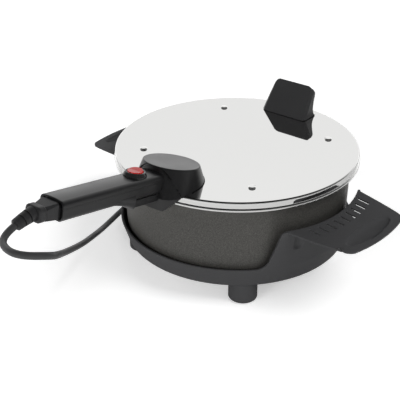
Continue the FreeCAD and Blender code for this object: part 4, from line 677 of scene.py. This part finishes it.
# The seam is a fine dark bead up either side of the cap, along the cap's own front edge.
seam_gap = np.abs(cap_points[:, 1] - HUB_Y + SEAM_BACK + SEAM_LEAN * cap_up)
cap_side = cap_points[:, 0] > CAP_SIDE_R - CAP_SIDE_LEAN * cap_up - CAP_SIDE_BAND
seam_found = cap_points[(seam_gap < SEAM_BAND) & cap_side]
seam_found = seam_found[np.argsort(seam_found[:, 2])]
seam_z = np.linspace(seam_found[0, 2], seam_found[-1, 2], SEAM_ROWS)
seam_line = np.stack([np.interp(seam_z, seam_found[:, 2], seam_found[:, n]) for n in range(3)], axis=-1)
seam_line[:, 0] += SEAM_OUT * np.sin(np.linspace(0, math.pi, SEAM_ROWS))
seam_turn = np.radians(np.linspace(0, 360, SEAM_SIDES, endpoint=False))
seam_ring = SEAM_R * np.stack([np.cos(seam_turn), np.sin(seam_turn), 0 * seam_turn], axis=-1)
seam_right = seam_line[:, None] + seam_ring
seam_left = seam_right[:, ::-1] * (-1, 1, 1)
hub_seam = round_piece("hub_seam", np.stack([seam_right, seam_left]), line_black, 60.0)
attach(hub_seam, "lid")

# Handle
# Two shells of the hub's black phenolic, screwed together from below over a steel bracket
# that holds them to the lid. Inside are the terminal block, the cutout and sleeved wires.
for node in ("handle_upper", "handle_lower", "neck_block"):
    dress(node, handle_black)
for node in ("handle_screws", "bracket_screws", "bracket_nuts"):
    dress(node, zinc)
dress("handle_bracket", metal("bracket_zinc", (0.55, 0.56, 0.58), 0.3, 0.45, 120.0))
dress("thermal_cutout", metal("cutout_can", (0.60, 0.60, 0.60), 0.25, 0.4, 150.0))
dress("terminal_block", moulded(
    "terminal_ceramic", (0.70, 0.68, 0.62), (0.78, 0.76, 0.71), 0.4, 0.5, 800.0, 0.2
))
dress("inner_wires", moulded("wire_sleeve", (0.55, 0.50, 0.40), (0.66, 0.62, 0.52), 0.7, 0.85, 1500.0, 0.8))

# Rear knob
# A leaning block of black phenolic with a hollow back, rounded over at its top, on a foot a
# little smaller than itself. Two screws hold it from inside the lid.
KNOB_PLACE, KNOB_H, KNOB_LEAN = (-0.0045, 0.1027, LID_TOP), 0.0372, 0.0248
KNOB_LOW, KNOB_HIGH, KNOB_ROUND, KNOB_EDGE, KNOB_TOP_FALL = 0.0320, 0.0288, 0.0045, 0.0030, 0.0055
KNOB_FOOT_IN, KNOB_FOOT_SHARE, KNOB_FLARE, KNOB_FLARE_H = 0.0010, 0.0222, 0.0052, 0.0034
KNOB_BACK_Z, KNOB_BACK_Y = (0.0034, 0.0095, 0.0175, 0.0317), (0.0228, 0.0216, 0.0236, 0.0288)
KNOB_FOOT_ROWS, KNOB_SIDE_LOW, KNOB_SIDE_HIGH, KNOB_TOP_SHARE = [0, 0.022, 0.0225], 0.05, 0.86, 0.13

# Its rows are loops round the block, close together at the foot's edge and over the round
# top. A loop runs from y = front_y to back_y for its share of the height, and its front
# corners are cut off.
knob_share = np.concatenate([
    KNOB_FOOT_ROWS,
    np.linspace(KNOB_SIDE_LOW, KNOB_SIDE_HIGH, 16),
    1 - KNOB_TOP_SHARE * np.cos(np.linspace(0, math.pi / 2, 12)),
])[:, None]
knob_half = KNOB_LOW + (KNOB_HIGH - KNOB_LOW) * knob_share
over = np.clip((knob_share - (1 - KNOB_ROUND / KNOB_H)) * KNOB_H, 0, KNOB_ROUND)
knob_half = knob_half - KNOB_ROUND + np.sqrt(np.clip(KNOB_ROUND ** 2 - over ** 2, 0, None))
foot_in = KNOB_FOOT_IN * (knob_share < KNOB_FOOT_SHARE)
knob_half = knob_half - foot_in
front_y, front_z = KNOB_LEAN * knob_share + foot_in, KNOB_H * knob_share
back_z = (KNOB_H - KNOB_TOP_FALL) * knob_share
back_curve = np.polyfit(KNOB_BACK_Z, KNOB_BACK_Y, 3)
back_flare = KNOB_FLARE * np.clip(1 - back_z / KNOB_FLARE_H, 0, 1) ** 2
back_y = np.polyval(back_curve, np.maximum(back_z, KNOB_FLARE_H)) + back_flare
along = np.linspace(-1, 1, 9) * np.ones_like(knob_share)
corner = np.linspace(0, 1, 4)[1:-1]
loop_x = np.concatenate([
    along * (knob_half - KNOB_EDGE), knob_half - KNOB_EDGE * (1 - corner), knob_half + 0 * along,
    -along[:, 1:-1] * knob_half, -knob_half + 0 * along, -knob_half + KNOB_EDGE * corner,
], axis=1)
edge_share = KNOB_EDGE / (back_y - front_y)
side_share = edge_share + (1 - edge_share) * (along + 1) / 2
loop_share = np.concatenate([
    0 * along, corner * edge_share, side_share,
    1 + 0 * along[:, 1:-1], side_share[:, ::-1], (1 - corner) * edge_share,
], axis=1)
loop_y = front_y + (back_y - front_y) * loop_share
loop_z = front_z + (back_z - front_z) * loop_share
knob = np.stack([loop_x, loop_y, loop_z], axis=-1) + np.array(KNOB_PLACE)
knob_black = moulded("knob_black", (0.029, 0.029, 0.030), (0.036, 0.036, 0.037), 0.36, 0.44, 1400.0, 0.14)
knob_shell = round_piece("knob_shell", knob, knob_black, 30.0)
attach(knob_shell, "lid")
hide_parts("rear_knob")
dress("knob_screws", zinc)

# Switch
# A round rocker switch pressed into the handle from above: glossy black bezel and body, and
# a clear red rocker on a steel pin with a lamp below it.
switch_black = moulded("switch_black", (0.012, 0.012, 0.012), (0.016, 0.016, 0.016), 0.22, 0.30, 1600.0, 0.08)
dress("switch_bezel", switch_black)
dress("switch_body", switch_black)
rocker_red, tree, shader = new_finish("rocker_red")
rocker_place = tree.nodes.new("ShaderNodeTexCoord")
rocker_patches = noise(tree, rocker_place.outputs["Object"], 220.0)
rocker_shade = two_shades(tree, rocker_patches.outputs["Fac"], (0.50, 0.006, 0.004), (0.78, 0.020, 0.014))
wire(tree, (rocker_shade, shader.inputs["Base Color"]))
shader.inputs["Roughness"].default_value = 0.18
shader.inputs["Transmission Weight"].default_value = 0.25
dress("rocker", rocker_red)
dress("rocker_pin", zinc)

# Inlet and connector
# A standard mains inlet with nickel-plated pins, set in the handle's mouth, and the lead's
# connector, moulded in soft PVC round brass contacts, in one with its strain relief.
dress("inlet_socket", switch_black)
dress("inlet_pins", metal("pin_nickel", (0.66, 0.62, 0.55), 0.16, 0.28, 300.0))
lead_grey = moulded("lead_grey", (0.015, 0.015, 0.016), (0.021, 0.021, 0.022), 0.42, 0.52, 1200.0, 0.25)
dress("connector_body", lead_grey)
dress("connector_relief", lead_grey)
dress("connector_contacts", metal("contact_brass", (0.66, 0.50, 0.22), 0.2, 0.35, 200.0))

# Mains lead
# Seven millimetres thick and sheathed in soft PVC. It hangs from the connector, passes under
# the handle and round the stand, and what isn't in view lies coiled and tied behind it.
LEAD_DIAMETER, LEAD_LENGTH = 0.007, 1.5
OUT_OF_RELIEF = [(0.0, -0.33806, 0.18288), (0.0, -0.34959, 0.18036), (0.0090, -0.3629, 0.1777)]
FRONT_BEND = [(0.0380, -0.3704, 0.1816), (0.0564, -0.3456, 0.1765), (0.0413, -0.3272, 0.1625)]
HANGING = [
    (0.0088, -0.2945, 0.1349), (-0.0416, -0.2415, 0.0919), (-0.0889, -0.1774, 0.0511),
    (-0.1213, -0.1256, 0.0268), (-0.1432, -0.0845, 0.0124), (-0.1650, -0.0138, 0.0094),
]
ON_TABLE = [(-0.1720, 0.0500, 0.0043), (-0.1740, 0.1050, 0.0043), (-0.1700, 0.1500, 0.0043)]
TO_PLUG = [(-0.128, 0.2275, 0.0113), (-0.0953, 0.2391, 0.0139), (-0.0747, 0.2347, 0.0185)]
COIL_X, COIL_Y = -0.128, 0.187
COIL_OUTER, COIL_INNER, COIL_LOW, COIL_HIGH = 0.0405, 0.0335, 0.0043, 0.0113
COIL_STEP, COIL_STEPS, COIL_INWARD, COIL_UP, COIL_OUTWARD = 15.0, 78, (330, 360), (650, 685), (970, 1005)
CURVE_INSIDE = 0.987

# The coil is x = COIL_X + r cos a, y = COIL_Y + r sin a. On the table it makes about a turn
# outside and one inside, and on the second layer one inside and part of one outside. The
# curve itself runs inside its points, at the share CURVE_INSIDE of their radius.
turned_by = COIL_STEP * np.arange(COIL_STEPS)
coil_radii = [COIL_OUTER, COIL_INNER, COIL_INNER, COIL_OUTER]
coil_r = np.interp(turned_by, COIL_INWARD + COIL_OUTWARD, coil_radii)
coil_r = coil_r / CURVE_INSIDE
coil_z = np.interp(turned_by, COIL_UP, [COIL_LOW, COIL_HIGH])
coil_at = np.radians(180.0 - turned_by)
coil = np.stack([COIL_X + coil_r * np.cos(coil_at), COIL_Y + coil_r * np.sin(coil_at), coil_z], axis=1)
lead_points = np.concatenate([OUT_OF_RELIEF, FRONT_BEND, HANGING, ON_TABLE, coil, TO_PLUG])

lead_curve = bpy.data.curves.new("mains_lead", "CURVE")
lead_curve.dimensions = "3D"
lead_curve.bevel_depth = LEAD_DIAMETER / 2
lead_curve.bevel_resolution = 6
lead_curve.use_fill_caps = True
lead_line = lead_curve.splines.new("NURBS")
lead_line.points.add(len(lead_points) - 1)
lead_line.points.foreach_set("co", np.c_[lead_points, np.ones(len(lead_points))].ravel())
lead_line.order_u = 3
lead_line.use_endpoint_u = True
lead_line.resolution_u = 8
lead = bpy.data.objects.new("mains_lead", lead_curve)
bpy.context.scene.collection.objects.link(lead)
lead_black = moulded("lead_black", (0.032, 0.032, 0.033), (0.042, 0.042, 0.043), 0.42, 0.52, 900.0, 0.2)
lead_curve.materials.append(lead_black)
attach(lead, "connector")
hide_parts("mains_cord", "cord_coil", "cord_tail")

# The plug is the connector's soft PVC, its pins keep the frame's own plain nickel, and a
# plastic-covered wire ties the coil.
dress("mains_plug", lead_grey)
dress("coil_tie", moulded("tie_black", (0.015, 0.015, 0.015), (0.02, 0.02, 0.02), 0.35, 0.45, 1200.0, 0.1))
